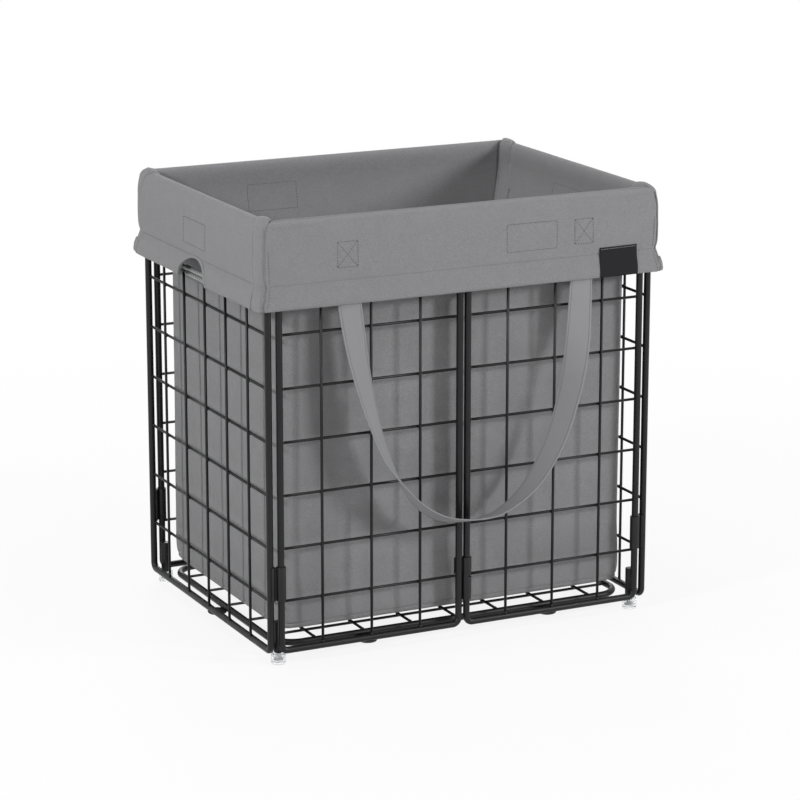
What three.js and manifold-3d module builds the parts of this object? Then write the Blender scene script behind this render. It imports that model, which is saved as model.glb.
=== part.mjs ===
// Folding laundry hamper: a black wire cage that stands on four clear feet, with a grey fabric liner
// hung over its rim. Millimetres, +Z up. The origin is on the floor under the middle of the cage.
// The front faces -Y. Each long side is two hinged half panels, each short side is one panel.

import * as THREE from 'three';
import { mergeVertices } from 'three/addons/utils/BufferGeometryUtils.js';
import Module from 'manifold-3d';

const wasm = await Module();
wasm.setup();

// Cage: sizes between centre lines
const CAGE_WIDTH = 502.4;            // left panel's plane to right panel's plane
const CAGE_DEPTH = 374.8;            // front panels' plane to back panels' plane
const PANEL_HEIGHT = 508.4;          // bottom rail to top rail
const FOOT_DROP = 18;                // floor to the bottom rails' centre line
const CORNER_INSET = 12.6;           // a half panel's end post, in from the side panel's plane
const SIDE_INSET = 2.8;              // a side panel's post, in from the long side's plane
const HINGE_PITCH = 10.6;            // between the two posts at the middle of a long side

// Wire stock
const FRAME_DIA = 8.2;
const WIRE_DIA = 3.4;
const GRID_PITCH = 64;
const FRAME_BEND = 8;                // centre-line bend radius at a panel's corners
const WELD_LAP = 0.4;                // how deep two welded wires sink into each other

// Running and seating clearances
const FIT = 0.3;                     // between pieces that touch or turn in each other
const CUT_OVERRUN = 2;               // how far a cutting shape runs past what it cuts
const MERGE_WITHIN = 0.0001;         // points nearer than this are one point

// Hand window and grips in the side panels
const GRIP_DROP = 99.4;              // lower grip wire below the top rail
const GRIP_SPACING = 6.8;
const GRIP_DIA = 6;
const GRIP_LENGTH = 118;
const GRIP_WALL_CLEARANCE = 0.25;

// Clips
const CLIP_WALL = 1.9;
const CLIP_LENGTH = 41;
const HINGE_CLIP_DROP = 30.8;        // how far a hinge clip's barrel reaches below its cross wire
const HINGE_CLIP_RISE = 20.2;        // length of its hook, above the cross wire
const CLIP_WEB = 3;                  // thickness of the plate between a clip's barrels

// Legs and feet
const SOCKET_DIA = 11;
const SOCKET_HEIGHT = 38;
const SOCKET_BORE = 6.6;
const SOCKET_CAP = 3;
const FOOT_DIA = 17.6;
const FOOT_HEIGHT = 13.4;
const FOOT_WALL = 2.6;
const FOOT_FLOOR = 4;
const FOOT_EDGE = 2.2;               // rounding round the foot's sole
const PLUG_FLANGE = 1.6;
const PLUG_REACH = 20;

// Base grid and the round rests under it
const BASE_INSET_SHORT = 18.7;       // base tube's centre line, in from the side panels' planes
const BASE_INSET_LONG = 20.9;        // and in from the front and back planes
const BASE_BEND = 30;
const REST_DIA = 24;
const REST_THICKNESS = 3.6;
const REST_EDGE = 1.2;

// Fabric liner
const FABRIC = 2;                    // cloth with its lining, as a closed solid
const CUFF_DROP = 97.4;              // hem's edge below the top rail's centre line
const STITCH_DROP = 68.4;            // hem's stitch line below the top rail's centre line
const CUFF_STAND = 8.8;              // cuff's face out from the cage's planes, just below the rim
const STITCH_STAND = 11.5;
const HEM_STAND = 15;
const CUFF_CORNER = 7.5;             // plan radius of the cuff's lining at the cage's corners
const RIM_TURN_DROP = 18.4;          // cuff's inner leg, from the top rail's centre line down
const LINER_STAND_IN = 7.3;          // bag's outer face, in from the cage's planes, at its top
const BAG_DRAW_IN = 78;              // height over which the bag's walls draw in, from its top down
const BAG_INSET = 20;                // bag's outer face below that, on the short sides
const BAG_INSET_LONG = 18;           // and on the long sides
const BAG_FLOOR = 36;                // bag's underside above the floor
const BAG_CORNER = 12;
const BAG_ROLL = 10;                 // rounding of the bag's bottom edge
const CUTOUT_WIDTH = 82;
const CUTOUT_HEIGHT = 27;
const BINDING_WIDTH = 4.5;
const BINDING_STAND = 0.8;
const BAND_WIDTH = 14.4;             // band's near edge, in from the long side's plane
const BAND_THICKNESS = 1.2;
const STRAP_WIDTH = 30;
const STRAP_THICKNESS = 1.8;
const STRAP_SPAN = 304;
const STRAP_DROP = 276;              // strap's lowest point below the hem's edge
const STRAP_TAB = 44;                // sewn end, up behind the cuff
const LABEL_WIDTH = 52;
const LABEL_HEIGHT = 36;
const LABEL_THICKNESS = 0.8;
const LABEL_INSET = 48.2;            // label's middle, in from the right side panel's plane

// Facets
const FRAME_SIDES = 8;
const WIRE_SIDES = 6;
const ROUND_SIDES = 16;
const BEND_STEPS = 4;
const CORNER_STEPS = 4;
const STRAP_STEPS = 40;
const STRAP_COLUMNS = 3;

// Places worked out from the sizes above
const FRAME_R = FRAME_DIA / 2;
const WIRE_R = WIRE_DIA / 2;
const HALF_WIDTH = (CAGE_WIDTH - 2 * CORNER_INSET - HINGE_PITCH) / 2;
const SIDE_WIDTH = CAGE_DEPTH - 2 * SIDE_INSET;
const FRONT_Y = -CAGE_DEPTH / 2;
const LEFT_X = -CAGE_WIDTH / 2;
const END_POST_X = CAGE_WIDTH / 2 - CORNER_INSET;
const RAIL_TOP_Z = FOOT_DROP + PANEL_HEIGHT;
const HEM_Z = RAIL_TOP_Z - CUFF_DROP;
const LAYER = (WIRE_DIA - WELD_LAP) / 2;
const HINGE_BARREL_R = Math.min(FRAME_R + FIT + CLIP_WALL, HINGE_PITCH - FRAME_R - FIT);
const STRAP_STAND = HINGE_BARREL_R + FIT + STRAP_THICKNESS / 2;
const LEAST_BOTTOM_CELL = HINGE_CLIP_DROP + FRAME_R + 2 * FIT;
const ROW_COUNT = Math.floor((PANEL_HEIGHT - LEAST_BOTTOM_CELL) / GRID_PITCH);
const CLIP_LEVELS = [['lower', 0], ['upper', ROW_COUNT - 1]];
const GRIP_LOW = PANEL_HEIGHT - GRIP_DROP;
const BAND_START = CAGE_DEPTH / 2 - BAND_WIDTH;

// Height of a cross wire above the bottom rail: the rows are set off from the top rail down
const rowHeight = (row) => PANEL_HEIGHT - (ROW_COUNT - row) * GRID_PITCH;

const MATERIALS = {
  wire: new THREE.MeshStandardMaterial({ color: 0x1c1c1e, roughness: 0.38, metalness: 0.3 }),
  clip: new THREE.MeshStandardMaterial({ color: 0x232325, roughness: 0.5, metalness: 0.2 }),
  grip: new THREE.MeshStandardMaterial({ color: 0xb4bcb4, roughness: 0.5, metalness: 0 }),
  foot: new THREE.MeshStandardMaterial({ color: 0xe4e8ea, roughness: 0.15, metalness: 0 }),
  plug: new THREE.MeshStandardMaterial({ color: 0x8c8f92, roughness: 0.45, metalness: 0.6 }),
  rest: new THREE.MeshStandardMaterial({ color: 0x202022, roughness: 0.7, metalness: 0 }),
  fabric: new THREE.MeshStandardMaterial({ color: 0x8b8b8e, roughness: 0.95, metalness: 0 }),
  webbing: new THREE.MeshStandardMaterial({ color: 0x939396, roughness: 0.9, metalness: 0 }),
  label: new THREE.MeshStandardMaterial({ color: 0x242427, roughness: 0.85, metalness: 0 }),
};

const hamper = new THREE.Group();

// Adds one named piece, from a geometry or a manifold solid, at its place and turn
function addPiece(name, shape, material, place = [0, 0, 0], turn = 0) {
  const geometry = shape.isBufferGeometry ? shape : toGeometry(shape);
  const mesh = new THREE.Mesh(geometry, material);
  mesh.name = name;
  mesh.position.set(...place);
  mesh.rotation.z = turn;
  hamper.add(mesh);
}

// A solid that can be joined and cut, from a closed geometry
function toSolid(geometry) {
  const bare = new THREE.BufferGeometry();
  bare.setAttribute('position', geometry.getAttribute('position'));
  if (geometry.index) bare.setIndex(geometry.index);
  const merged = mergeVertices(bare, MERGE_WITHIN);
  return new wasm.Manifold(new wasm.Mesh({
    numProp: 3,
    vertProperties: new Float32Array(merged.getAttribute('position').array),
    triVerts: new Uint32Array(merged.index.array),
  }));
}

function toGeometry(solid) {
  const mesh = solid.getMesh();
  const geometry = new THREE.BufferGeometry();
  geometry.setAttribute('position', new THREE.BufferAttribute(new Float32Array(mesh.vertProperties), 3));
  geometry.setIndex(new THREE.BufferAttribute(new Uint32Array(mesh.triVerts), 1));
  geometry.computeVertexNormals();
  return geometry;
}

function joinAll(solids) {
  return solids.reduce((whole, solid) => whole.add(solid));
}

// Geometry from rows of points: row i joins row i + 1, each row closed on itself
// With closed true the last row joins the first, otherwise both end rows are capped with a strip
function skinRows(rows, closed) {
  const size = rows[0].length;
  const points = rows.flat();
  const index = [];
  const last = closed ? rows.length : rows.length - 1;
  for (let i = 0; i < last; i += 1) {
    const next = (i + 1) % rows.length;
    for (let j = 0; j < size; j += 1) {
      const k = (j + 1) % size;
      index.push(i * size + j, next * size + j, next * size + k);
      index.push(i * size + j, next * size + k, i * size + k);
    }
  }
  const base = closed ? 0 : (rows.length - 1) * size;
  for (let j = 0; base && j < size / 2 - 1; j += 1) {
    const far = size - 1 - j;
    index.push(j, j + 1, far - 1, j, far - 1, far);
    index.push(base + j, base + far - 1, base + j + 1, base + j, base + far, base + far - 1);
  }
  const geometry = new THREE.BufferGeometry();
  const flat = points.flatMap((p) => [p.x, p.y, p.z]);
  geometry.setAttribute('position', new THREE.Float32BufferAttribute(flat, 3));
  geometry.setIndex(index);
  return geometry;
}

// A round bar between two points
function bar(from, to, radius, sides) {
  const direction = to.clone().sub(from);
  const geometry = new THREE.CylinderGeometry(radius, radius, direction.length(), sides);
  geometry.applyQuaternion(new THREE.Quaternion().setFromUnitVectors(
    new THREE.Vector3(0, 1, 0),
    direction.clone().normalize(),
  ));
  const middle = from.clone().add(to).multiplyScalar(0.5);
  geometry.translate(middle.x, middle.y, middle.z);
  return toSolid(geometry);
}

const wireBetween = (from, to) => bar(from, to, WIRE_R, WIRE_SIDES);

// An upright round bar, with flats that stand clear of the radius when it is a bore
function upright(x, y, low, high, radius, sides = ROUND_SIDES, bore = false) {
  const reach = bore ? radius / Math.cos(Math.PI / sides) : radius;
  return bar(new THREE.Vector3(x, y, low), new THREE.Vector3(x, y, high), reach, sides);
}

// Centre line of a rounded rectangle as points with their outward direction, in its own plane
function roundedRectangle(halfWidth, halfHeight, radius, steps) {
  const points = [];
  const corners = [[1, 1, 0], [-1, 1, 1], [-1, -1, 2], [1, -1, 3]];
  for (const [sx, sy, quarter] of corners) {
    for (let i = 0; i <= steps; i += 1) {
      const angle = (quarter + i / steps) * Math.PI / 2;
      const out = [Math.cos(angle), Math.sin(angle)];
      const u = sx * (halfWidth - radius) + radius * out[0];
      const v = sy * (halfHeight - radius) + radius * out[1];
      points.push({ u, v, out });
    }
  }
  return points;
}

// A round tube bent into a rounded rectangle; place maps (u, v, w) to a point, w across its plane
function bentTube(width, height, bend, place) {
  const line = roundedRectangle(width / 2, height / 2, bend, BEND_STEPS);
  const rows = line.map(({ u, v, out }) => {
    const ring = [];
    for (let j = 0; j < FRAME_SIDES; j += 1) {
      const angle = (j + 0.5) * 2 * Math.PI / FRAME_SIDES;
      const side = FRAME_R * Math.cos(angle);
      const across = FRAME_R * Math.sin(angle);
      ring.push(place(u + side * out[0], v + side * out[1], across));
    }
    return ring;
  });
  return toSolid(outward(skinRows(rows, true)));
}

// Turns a closed geometry's faces round if they point inwards
function outward(geometry) {
  const position = geometry.getAttribute('position');
  const a = new THREE.Vector3();
  const b = new THREE.Vector3();
  const c = new THREE.Vector3();
  const index = geometry.index.array;
  let volume = 0;
  for (let i = 0; i < index.length; i += 3) {
    a.fromBufferAttribute(position, index[i]);
    b.fromBufferAttribute(position, index[i + 1]);
    c.fromBufferAttribute(position, index[i + 2]);
    volume += a.dot(b.cross(c));
  }
  if (volume < 0) {
    for (let i = 0; i < index.length; i += 3) [index[i], index[i + 1]] = [index[i + 1], index[i]];
  }
  return geometry;
}

// Places of the grid's uprights across a span, centred and one pitch apart
function gridPlaces(span) {
  const count = Math.floor(span / GRID_PITCH);
  return Array.from({ length: count }, (_, i) => (i - (count - 1) / 2) * GRID_PITCH);
}

// One welded panel, in its own plane: X across, Z up from the bottom rail, its outer face to -Y
// A panel with a hand window has its middle uprights cut between the grip wires and the row above
function weldedPanel(width, handWindow) {
  const frame = bentTube(width, PANEL_HEIGHT, FRAME_BEND, (u, v, w) => (
    new THREE.Vector3(u, w, v + PANEL_HEIGHT / 2)
  ));
  const wires = [];
  const lower = GRIP_LOW;
  const upper = GRIP_LOW + GRIP_SPACING;
  const windowTop = rowHeight(ROW_COUNT - 1);
  const uprights = gridPlaces(width);
  const edge = uprights[uprights.length - 1];
  for (const x of uprights) {
    const cut = handWindow && Math.abs(x) < edge;
    const at = (z) => new THREE.Vector3(x, -LAYER, z);
    if (cut) {
      const stop = Math.abs(x) < GRIP_LENGTH / 2 ? lower - GRIP_DIA / 2 - FIT : lower;
      wires.push(wireBetween(at(0), at(stop)));
      wires.push(wireBetween(at(windowTop - WIRE_R), at(PANEL_HEIGHT)));
    } else {
      wires.push(wireBetween(at(0), at(PANEL_HEIGHT)));
    }
  }
  for (let row = 0; row < ROW_COUNT; row += 1) {
    const at = (x) => new THREE.Vector3(x, LAYER, rowHeight(row));
    wires.push(wireBetween(at(-width / 2), at(width / 2)));
  }
  if (handWindow) {
    for (const z of [lower, upper]) {
      const at = (x) => new THREE.Vector3(x, 0, z);
      wires.push(wireBetween(at(-edge - WIRE_R), at(edge + WIRE_R)));
    }
  }
  return joinAll([frame, ...wires]);
}

// Six panels of the cage
const halfPanel = toGeometry(weldedPanel(HALF_WIDTH, false));
const sidePanel = toGeometry(weldedPanel(SIDE_WIDTH, true));
const HALF_MIDDLE = (HINGE_PITCH + HALF_WIDTH) / 2;
const HALVES = [
  ['front_left', -1, -1],
  ['front_right', 1, -1],
  ['back_left', -1, 1],
  ['back_right', 1, 1],
];
for (const [name, sx, sy] of HALVES) {
  const place = [sx * HALF_MIDDLE, -sy * FRONT_Y, FOOT_DROP];
  addPiece(`${name}_panel`, halfPanel, MATERIALS.wire, place, sy > 0 ? Math.PI : 0);
}
for (const [name, sx] of [['left', -1], ['right', 1]]) {
  addPiece(`${name}_panel`, sidePanel, MATERIALS.wire, [-sx * LEFT_X, 0, FOOT_DROP], sx * Math.PI / 2);
}

// Ribbed sleeves on the two grip wires of each side panel
function gripSleeve() {
  const sleeve = upright(0, 0, -GRIP_LENGTH / 2, GRIP_LENGTH / 2, GRIP_DIA / 2, ROUND_SIDES);
  const reach = GRIP_LENGTH / 2 + CUT_OVERRUN;
  const bore = upright(0, 0, -reach, reach, WIRE_R + GRIP_WALL_CLEARANCE, WIRE_SIDES * 2, true);
  const geometry = toGeometry(sleeve.subtract(bore));
  geometry.rotateX(Math.PI / 2);
  return geometry;
}
const sleeve = gripSleeve();
for (const [side, sx] of [['left', -1], ['right', 1]]) {
  for (const [level, rise] of [['lower', 0], ['upper', GRIP_SPACING]]) {
    const z = FOOT_DROP + GRIP_LOW + rise;
    addPiece(`${side}_grip_${level}`, sleeve, MATERIALS.grip, [-sx * LEFT_X, 0, z]);
  }
}

// Corner clip: a sleeve that an end post turns in, and a hook welded to the side panel's post
function cornerClip(sx, sy) {
  const postX = sx * CORNER_INSET;
  const postY = -sy * SIDE_INSET;
  const boreR = FRAME_R + FIT;
  const outerR = boreR + CLIP_WALL;
  const angle = Math.atan2(postY, postX);
  const web = new THREE.BoxGeometry(Math.hypot(postX, postY), CLIP_WEB, CLIP_LENGTH);
  web.rotateZ(angle);
  web.translate(postX / 2, postY / 2, CLIP_LENGTH / 2);
  const mouth = new THREE.BoxGeometry(outerR * 2, outerR * 2, CLIP_LENGTH + 2 * CUT_OVERRUN);
  mouth.translate(postX + sx * outerR, postY, CLIP_LENGTH / 2);
  const hook = upright(postX, postY, 0, CLIP_LENGTH, boreR + CLIP_WALL - FIT);
  const low = -CUT_OVERRUN;
  const high = CLIP_LENGTH + CUT_OVERRUN;
  return joinAll([upright(0, 0, 0, CLIP_LENGTH, outerR), hook, toSolid(web)])
    .subtract(toSolid(mouth))
    .subtract(upright(0, 0, low, high, boreR, ROUND_SIDES, true))
    .subtract(upright(postX, postY, low, high, boreR, ROUND_SIDES, true));
}

// Hinge clip at the middle of a long side: a sleeve round the right post, a hook behind the left one
// The sleeve is cut away at the back so that its post's cross wire can swing through
function hingeClip(sy) {
  const boreR = FRAME_R + FIT;
  const outerR = HINGE_BARREL_R;
  const right = HINGE_PITCH / 2;
  const above = WIRE_R + FIT;
  const low = -HINGE_CLIP_DROP;
  const high = above + HINGE_CLIP_RISE;
  const mouth = new THREE.BoxGeometry(outerR * 2, outerR * 2, high - above + 2 * CUT_OVERRUN);
  mouth.translate(-right, sy * (outerR + boreR / 2), (high + above) / 2);
  const swing = new THREE.Shape();
  const reach = outerR * 2;
  swing.moveTo(0, 0);
  const swingShares = [-0.09, 0.25, 0.5, 0.76];
  for (const share of swingShares) {
    const angle = -sy * share * Math.PI;
    swing.lineTo(reach * Math.cos(angle), reach * Math.sin(angle));
  }
  const slot = new THREE.ExtrudeGeometry(swing, { depth: 2 * above, bevelEnabled: false });
  slot.translate(right, 0, -above);
  const hook = upright(-right, 0, above, high, outerR).subtract(toSolid(mouth));
  return joinAll([upright(right, 0, low, high, outerR), hook])
    .subtract(toSolid(slot))
    .subtract(upright(right, 0, low - CUT_OVERRUN, high + CUT_OVERRUN, boreR, ROUND_SIDES, true))
    .subtract(upright(-right, 0, above - CUT_OVERRUN, high + CUT_OVERRUN, boreR, ROUND_SIDES, true));
}

for (const [level, row] of CLIP_LEVELS) {
  const wire = FOOT_DROP + rowHeight(row);
  for (const [name, sx, sy] of HALVES) {
    const place = [sx * END_POST_X, -sy * FRONT_Y, wire + WIRE_R + FIT];
    addPiece(`${name}_corner_clip_${level}`, cornerClip(sx, sy), MATERIALS.clip, place);
  }
  for (const [name, sy] of [['front', -1], ['back', 1]]) {
    addPiece(`${name}_hinge_clip_${level}`, hingeClip(sy), MATERIALS.clip, [0, -sy * FRONT_Y, wire]);
  }
}

// Leg socket behind each end post, with a clear foot held by a screw-in plug
const SOCKET_STAND = FRAME_R + SOCKET_DIA / 2 + FIT;
const SOCKET_FOOT = FOOT_DROP - FRAME_R;
function legSocket() {
  const top = FOOT_DROP + SOCKET_HEIGHT - FRAME_R;
  const low = SOCKET_FOOT - CUT_OVERRUN;
  const bore = upright(0, 0, low, top - SOCKET_CAP, SOCKET_BORE / 2, ROUND_SIDES, true);
  return upright(0, 0, SOCKET_FOOT, top, SOCKET_DIA / 2).subtract(bore);
}
function clearFoot() {
  const r = FOOT_DIA / 2;
  const inner = r - FOOT_WALL;
  const profile = [
    [0, 0],
    [r - FOOT_EDGE, 0],
    [r - FOOT_EDGE * (1 - Math.SQRT1_2), FOOT_EDGE * (1 - Math.SQRT1_2)],
    [r, FOOT_EDGE],
    [r, FOOT_HEIGHT - FOOT_EDGE],
    [r - FOOT_EDGE, FOOT_HEIGHT],
    [inner, FOOT_HEIGHT],
    [inner, FOOT_FLOOR],
    [0, FOOT_FLOOR],
  ];
  return outward(spin(profile));
}
function footPlug() {
  const head = FOOT_DIA / 2 - FOOT_WALL - FIT;
  const stem = SOCKET_BORE / 2 - FIT;
  const low = FOOT_FLOOR + FIT;
  const profile = [
    [0, low],
    [head, low],
    [head, low + PLUG_FLANGE],
    [stem, low + 2 * PLUG_FLANGE],
    [stem, SOCKET_FOOT + PLUG_REACH],
    [0, SOCKET_FOOT + PLUG_REACH],
  ];
  return outward(spin(profile));
}
function spin(profile) {
  const geometry = new THREE.LatheGeometry(profile.map(([r, z]) => new THREE.Vector2(r, z)), ROUND_SIDES);
  geometry.rotateX(Math.PI / 2);
  return toGeometry(toSolid(geometry));
}
for (const [name, sx, sy] of HALVES) {
  const place = [sx * END_POST_X, -sy * (FRONT_Y + SOCKET_STAND), 0];
  addPiece(`${name}_leg_socket`, legSocket(), MATERIALS.wire, place);
  addPiece(`${name}_foot`, clearFoot(), MATERIALS.foot, place);
  addPiece(`${name}_foot_plug`, footPlug(), MATERIALS.plug, place);
}

// Loose base grid: a bent tube with wires both ways, its left tube the axis that it tips up about
const BASE_WIDTH = CAGE_WIDTH - 2 * BASE_INSET_SHORT;
const BASE_DEPTH = CAGE_DEPTH - 2 * BASE_INSET_LONG;
function baseGrid() {
  const frame = bentTube(BASE_WIDTH, BASE_DEPTH, BASE_BEND, (u, v, w) => new THREE.Vector3(u, v, w));
  const wires = [];
  for (const y of gridPlaces(BASE_DEPTH)) {
    const at = (x) => new THREE.Vector3(x, y, 0);
    wires.push(wireBetween(at(-BASE_WIDTH / 2), at(BASE_WIDTH / 2)));
  }
  const across = gridPlaces(HALF_WIDTH).flatMap((x) => [x - HALF_MIDDLE, x + HALF_MIDDLE]);
  for (const x of [0, ...across]) {
    const at = (y) => new THREE.Vector3(x, y, 2 * LAYER);
    wires.push(wireBetween(at(-BASE_DEPTH / 2), at(BASE_DEPTH / 2)));
  }
  return joinAll([frame, ...wires]);
}
addPiece('base_grid', baseGrid(), MATERIALS.wire, [0, 0, FOOT_DROP]);

// Round rests under the bottom rails, which carry the base grid's tube
function baseRest() {
  const r = REST_DIA / 2;
  const profile = [[0, 0], [r - REST_EDGE, 0], [r, REST_EDGE], [r, REST_THICKNESS], [0, REST_THICKNESS]];
  return outward(spin(profile));
}
const REST_Z = FOOT_DROP - FRAME_R - FIT - REST_THICKNESS;
for (const [name, sx, sy] of HALVES) {
  const y = -sy * (FRONT_Y + BASE_INSET_LONG / 2);
  addPiece(`${name}_rest`, baseRest(), MATERIALS.rest, [sx * HALF_MIDDLE, y, REST_Z]);
}
for (const [name, sx] of [['left', -1], ['right', 1]]) {
  addPiece(`${name}_rest`, baseRest(), MATERIALS.rest, [-sx * (LEFT_X + BASE_INSET_SHORT / 2), 0, REST_Z]);
}

// Ring of plan points at a stand-out from the cage's planes, at one height
function planRing(standX, standY, radius, z) {
  const line = roundedRectangle(CAGE_WIDTH / 2 + standX, CAGE_DEPTH / 2 + standY, radius, CORNER_STEPS);
  return line.map(({ u, v }) => new THREE.Vector3(u, v, z));
}

// Section of the cuff as [stand-out, height] points: up the outer face, over the rim, down inside
// The outline is FABRIC thick, and grow thickens it on both faces
const RIM_R = FRAME_R + FIT + FABRIC;
function cuffFace(grow) {
  const face = [
    [HEM_STAND + grow, HEM_Z],
    [STITCH_STAND + grow, RAIL_TOP_Z - STITCH_DROP],
    [CUFF_STAND + grow, RAIL_TOP_Z - RIM_TURN_DROP],
  ];
  const turnSteps = 6;
  for (let i = 0; i <= turnSteps; i += 1) {
    const angle = Math.PI * i / turnSteps;
    const r = (RIM_R + grow) / Math.cos(Math.PI / turnSteps / 2);
    face.push([r * Math.cos(angle), RAIL_TOP_Z + r * Math.sin(angle)]);
  }
  face.push([-LINER_STAND_IN - FABRIC - grow, RAIL_TOP_Z - RIM_TURN_DROP]);
  return face;
}
function cuffSection(grow) {
  return [...cuffFace(grow), ...cuffFace(-FABRIC - grow).reverse()];
}
function cuffRing([stand, z]) {
  return planRing(stand, stand, Math.max(CUFF_CORNER + stand - FRAME_R - FIT, FABRIC), z);
}
function cuffSolid(grow) {
  return toSolid(outward(skinRows(cuffSection(grow).map(cuffRing), true)));
}

// Arch of a hand cutout, open at the hem, as a bar through both short sides
function cutoutArch(margin) {
  const arch = new THREE.Shape();
  const base = HEM_Z - CUT_OVERRUN;
  const halfWidth = CUTOUT_WIDTH / 2 + margin;
  const height = CUTOUT_HEIGHT + margin;
  arch.moveTo(-halfWidth, base);
  arch.lineTo(-halfWidth, HEM_Z);
  const archSteps = 10;
  for (let i = 1; i < archSteps; i += 1) {
    const angle = Math.PI * i / archSteps;
    arch.lineTo(-halfWidth * Math.cos(angle), HEM_Z + height * Math.sin(angle));
  }
  arch.lineTo(halfWidth, HEM_Z);
  arch.lineTo(halfWidth, base);
  const length = CAGE_WIDTH + 2 * (HEM_STAND + CUT_OVERRUN + BINDING_STAND);
  const geometry = new THREE.ExtrudeGeometry(arch, { depth: length, bevelEnabled: false });
  geometry.rotateX(Math.PI / 2);
  geometry.rotateZ(Math.PI / 2);
  geometry.translate(-length / 2, 0, 0);
  return toSolid(geometry);
}
const outerArch = cutoutArch(BINDING_WIDTH);
addPiece('liner_cuff', cuffSolid(0).subtract(outerArch), MATERIALS.fabric);

// Bindings sewn round the hand cutouts
const bindings = cuffSolid(BINDING_STAND)
  .intersect(cutoutArch(BINDING_WIDTH - FIT))
  .subtract(cutoutArch(0));
for (const [name, sx] of [['left', -1], ['right', 1]]) {
  const reach = CAGE_WIDTH;
  const half = new THREE.BoxGeometry(reach, CUTOUT_WIDTH * 2, RAIL_TOP_Z * 2);
  half.translate(sx * reach / 2, 0, RAIL_TOP_Z / 2);
  addPiece(`${name}_cutout_binding`, bindings.intersect(toSolid(half)), MATERIALS.fabric);
}

// Liner bag: an open-topped bag hung from the cuff's inner leg, drawn in at its top and then straight
function linerBag() {
  const top = RAIL_TOP_Z - RIM_TURN_DROP - FIT;
  const inset = (share, bottom) => -(LINER_STAND_IN + (bottom - LINER_STAND_IN) * share);
  const ring = (share, z, thick, roll) => planRing(
    inset(share, BAG_INSET) - thick - roll,
    inset(share, BAG_INSET_LONG) - thick - roll,
    Math.max(BAG_CORNER * share + FABRIC * 2 - thick - roll, FABRIC),
    z,
  );
  const drawShares = [0, 0.25, 0.6, 1];
  const slope = 1 - Math.SQRT1_2;
  const wall = (thick) => [
    ...drawShares.map((share) => ring(share, top - BAG_DRAW_IN * share, thick, 0)),
    ring(1, BAG_FLOOR + BAG_ROLL, thick, 0),
  ];
  const outer = wall(0);
  outer.push(ring(1, BAG_FLOOR + BAG_ROLL * slope, 0, BAG_ROLL * slope));
  outer.push(ring(1, BAG_FLOOR, 0, BAG_ROLL));
  const inner = wall(FABRIC);
  inner.push(ring(1, BAG_FLOOR + FABRIC + BAG_ROLL * slope, FABRIC, BAG_ROLL * slope));
  inner.push(ring(1, BAG_FLOOR + FABRIC, FABRIC, BAG_ROLL));
  const rows = [...outer].reverse().concat(inner);
  return outward(skinRows(rows, false));
}
addPiece('liner_bag', linerBag(), MATERIALS.fabric);

// Raised band on the cuff's short side at each corner, from the hem over the rim, to the corner's edge
function cornerBand(sx, sy) {
  const section = [...cuffFace(FIT), ...cuffFace(FIT + BAND_THICKNESS).reverse()];
  const rings = section.map(cuffRing);
  const start = rings.map((ring) => ring[0].clone().setY(BAND_START));
  const turned = Array.from({ length: CORNER_STEPS / 2 + 1 }, (_, i) => rings.map((ring) => ring[i]));
  const band = skinRows([start, ...turned], false);
  band.scale(sx, sy, 1);
  return toSolid(outward(band));
}
for (const [name, sx, sy] of HALVES) {
  addPiece(`${name}_corner_band`, cornerBand(sx, sy), MATERIALS.fabric);
}

// Carrying strap: its legs face forward at the hem, and its front face turns inwards on the way down
// Each row is [across, down, twist] as shares of the half span, the drop and a quarter turn
const strapShares = [
  [-1, 0, 0],
  [-0.97, 0.125, 0.07],
  [-0.937, 0.25, 0.2],
  [-0.89, 0.38, 0.34],
  [-0.83, 0.51, 0.48],
  [-0.75, 0.64, 0.6],
  [-0.655, 0.745, 0.78],
  [-0.54, 0.845, 1],
  [-0.4, 0.925, 1.15],
  [-0.22, 0.98, 1.22],
  [0, 1, 1.2],
  [0.2, 0.99, 1.14],
  [0.38, 0.942, 1.06],
  [0.53, 0.872, 0.94],
  [0.65, 0.785, 0.83],
  [0.755, 0.68, 0.74],
  [0.835, 0.56, 0.66],
  [0.9, 0.435, 0.56],
  [0.95, 0.3, 0.38],
  [0.985, 0.17, 0.15],
  [1.01, 0, 0],
];
function strapLoop() {
  const course = new THREE.CatmullRomCurve3(strapShares.map(([across, down, twist]) => {
    const stand = STRAP_STAND + (STRAP_WIDTH / 2) * Math.sin(twist * Math.PI / 2);
    return new THREE.Vector3(across * STRAP_SPAN / 2, FRONT_Y - stand, HEM_Z - FIT - down * STRAP_DROP);
  }));
  const forward = new THREE.Vector3(0, -1, 0);
  const rows = [];
  for (let i = 0; i <= STRAP_STEPS; i += 1) {
    const at = i / STRAP_STEPS;
    const place = at * (strapShares.length - 1);
    const row = Math.min(Math.floor(place), strapShares.length - 2);
    const twistShare = THREE.MathUtils.lerp(strapShares[row][2], strapShares[row + 1][2], place - row);
    const point = course.getPoint(at);
    const along = course.getTangent(at);
    const end = i % STRAP_STEPS === 0;
    if (end) along.set(0, 0, Math.sign(along.z));
    const across = new THREE.Vector3().crossVectors(forward, along).normalize();
    across.multiplyScalar(Math.cos(twistShare * Math.PI / 2));
    across.addScaledVector(forward, -Math.sin(twistShare * Math.PI / 2)).normalize();
    const normal = new THREE.Vector3().crossVectors(along, across).normalize();
    const face = (t) => Array.from({ length: STRAP_COLUMNS + 1 }, (_, column) => point.clone()
      .addScaledVector(across, (column / STRAP_COLUMNS - 1 / 2) * STRAP_WIDTH)
      .addScaledVector(normal, t * STRAP_THICKNESS / 2));
    rows.push([...face(-1), ...face(1).reverse()]);
  }
  return outward(skinRows(rows, false));
}
const loop = strapLoop();
addPiece('front_strap', loop, MATERIALS.webbing);
addPiece('back_strap', loop, MATERIALS.webbing, [0, 0, 0], Math.PI);

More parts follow.
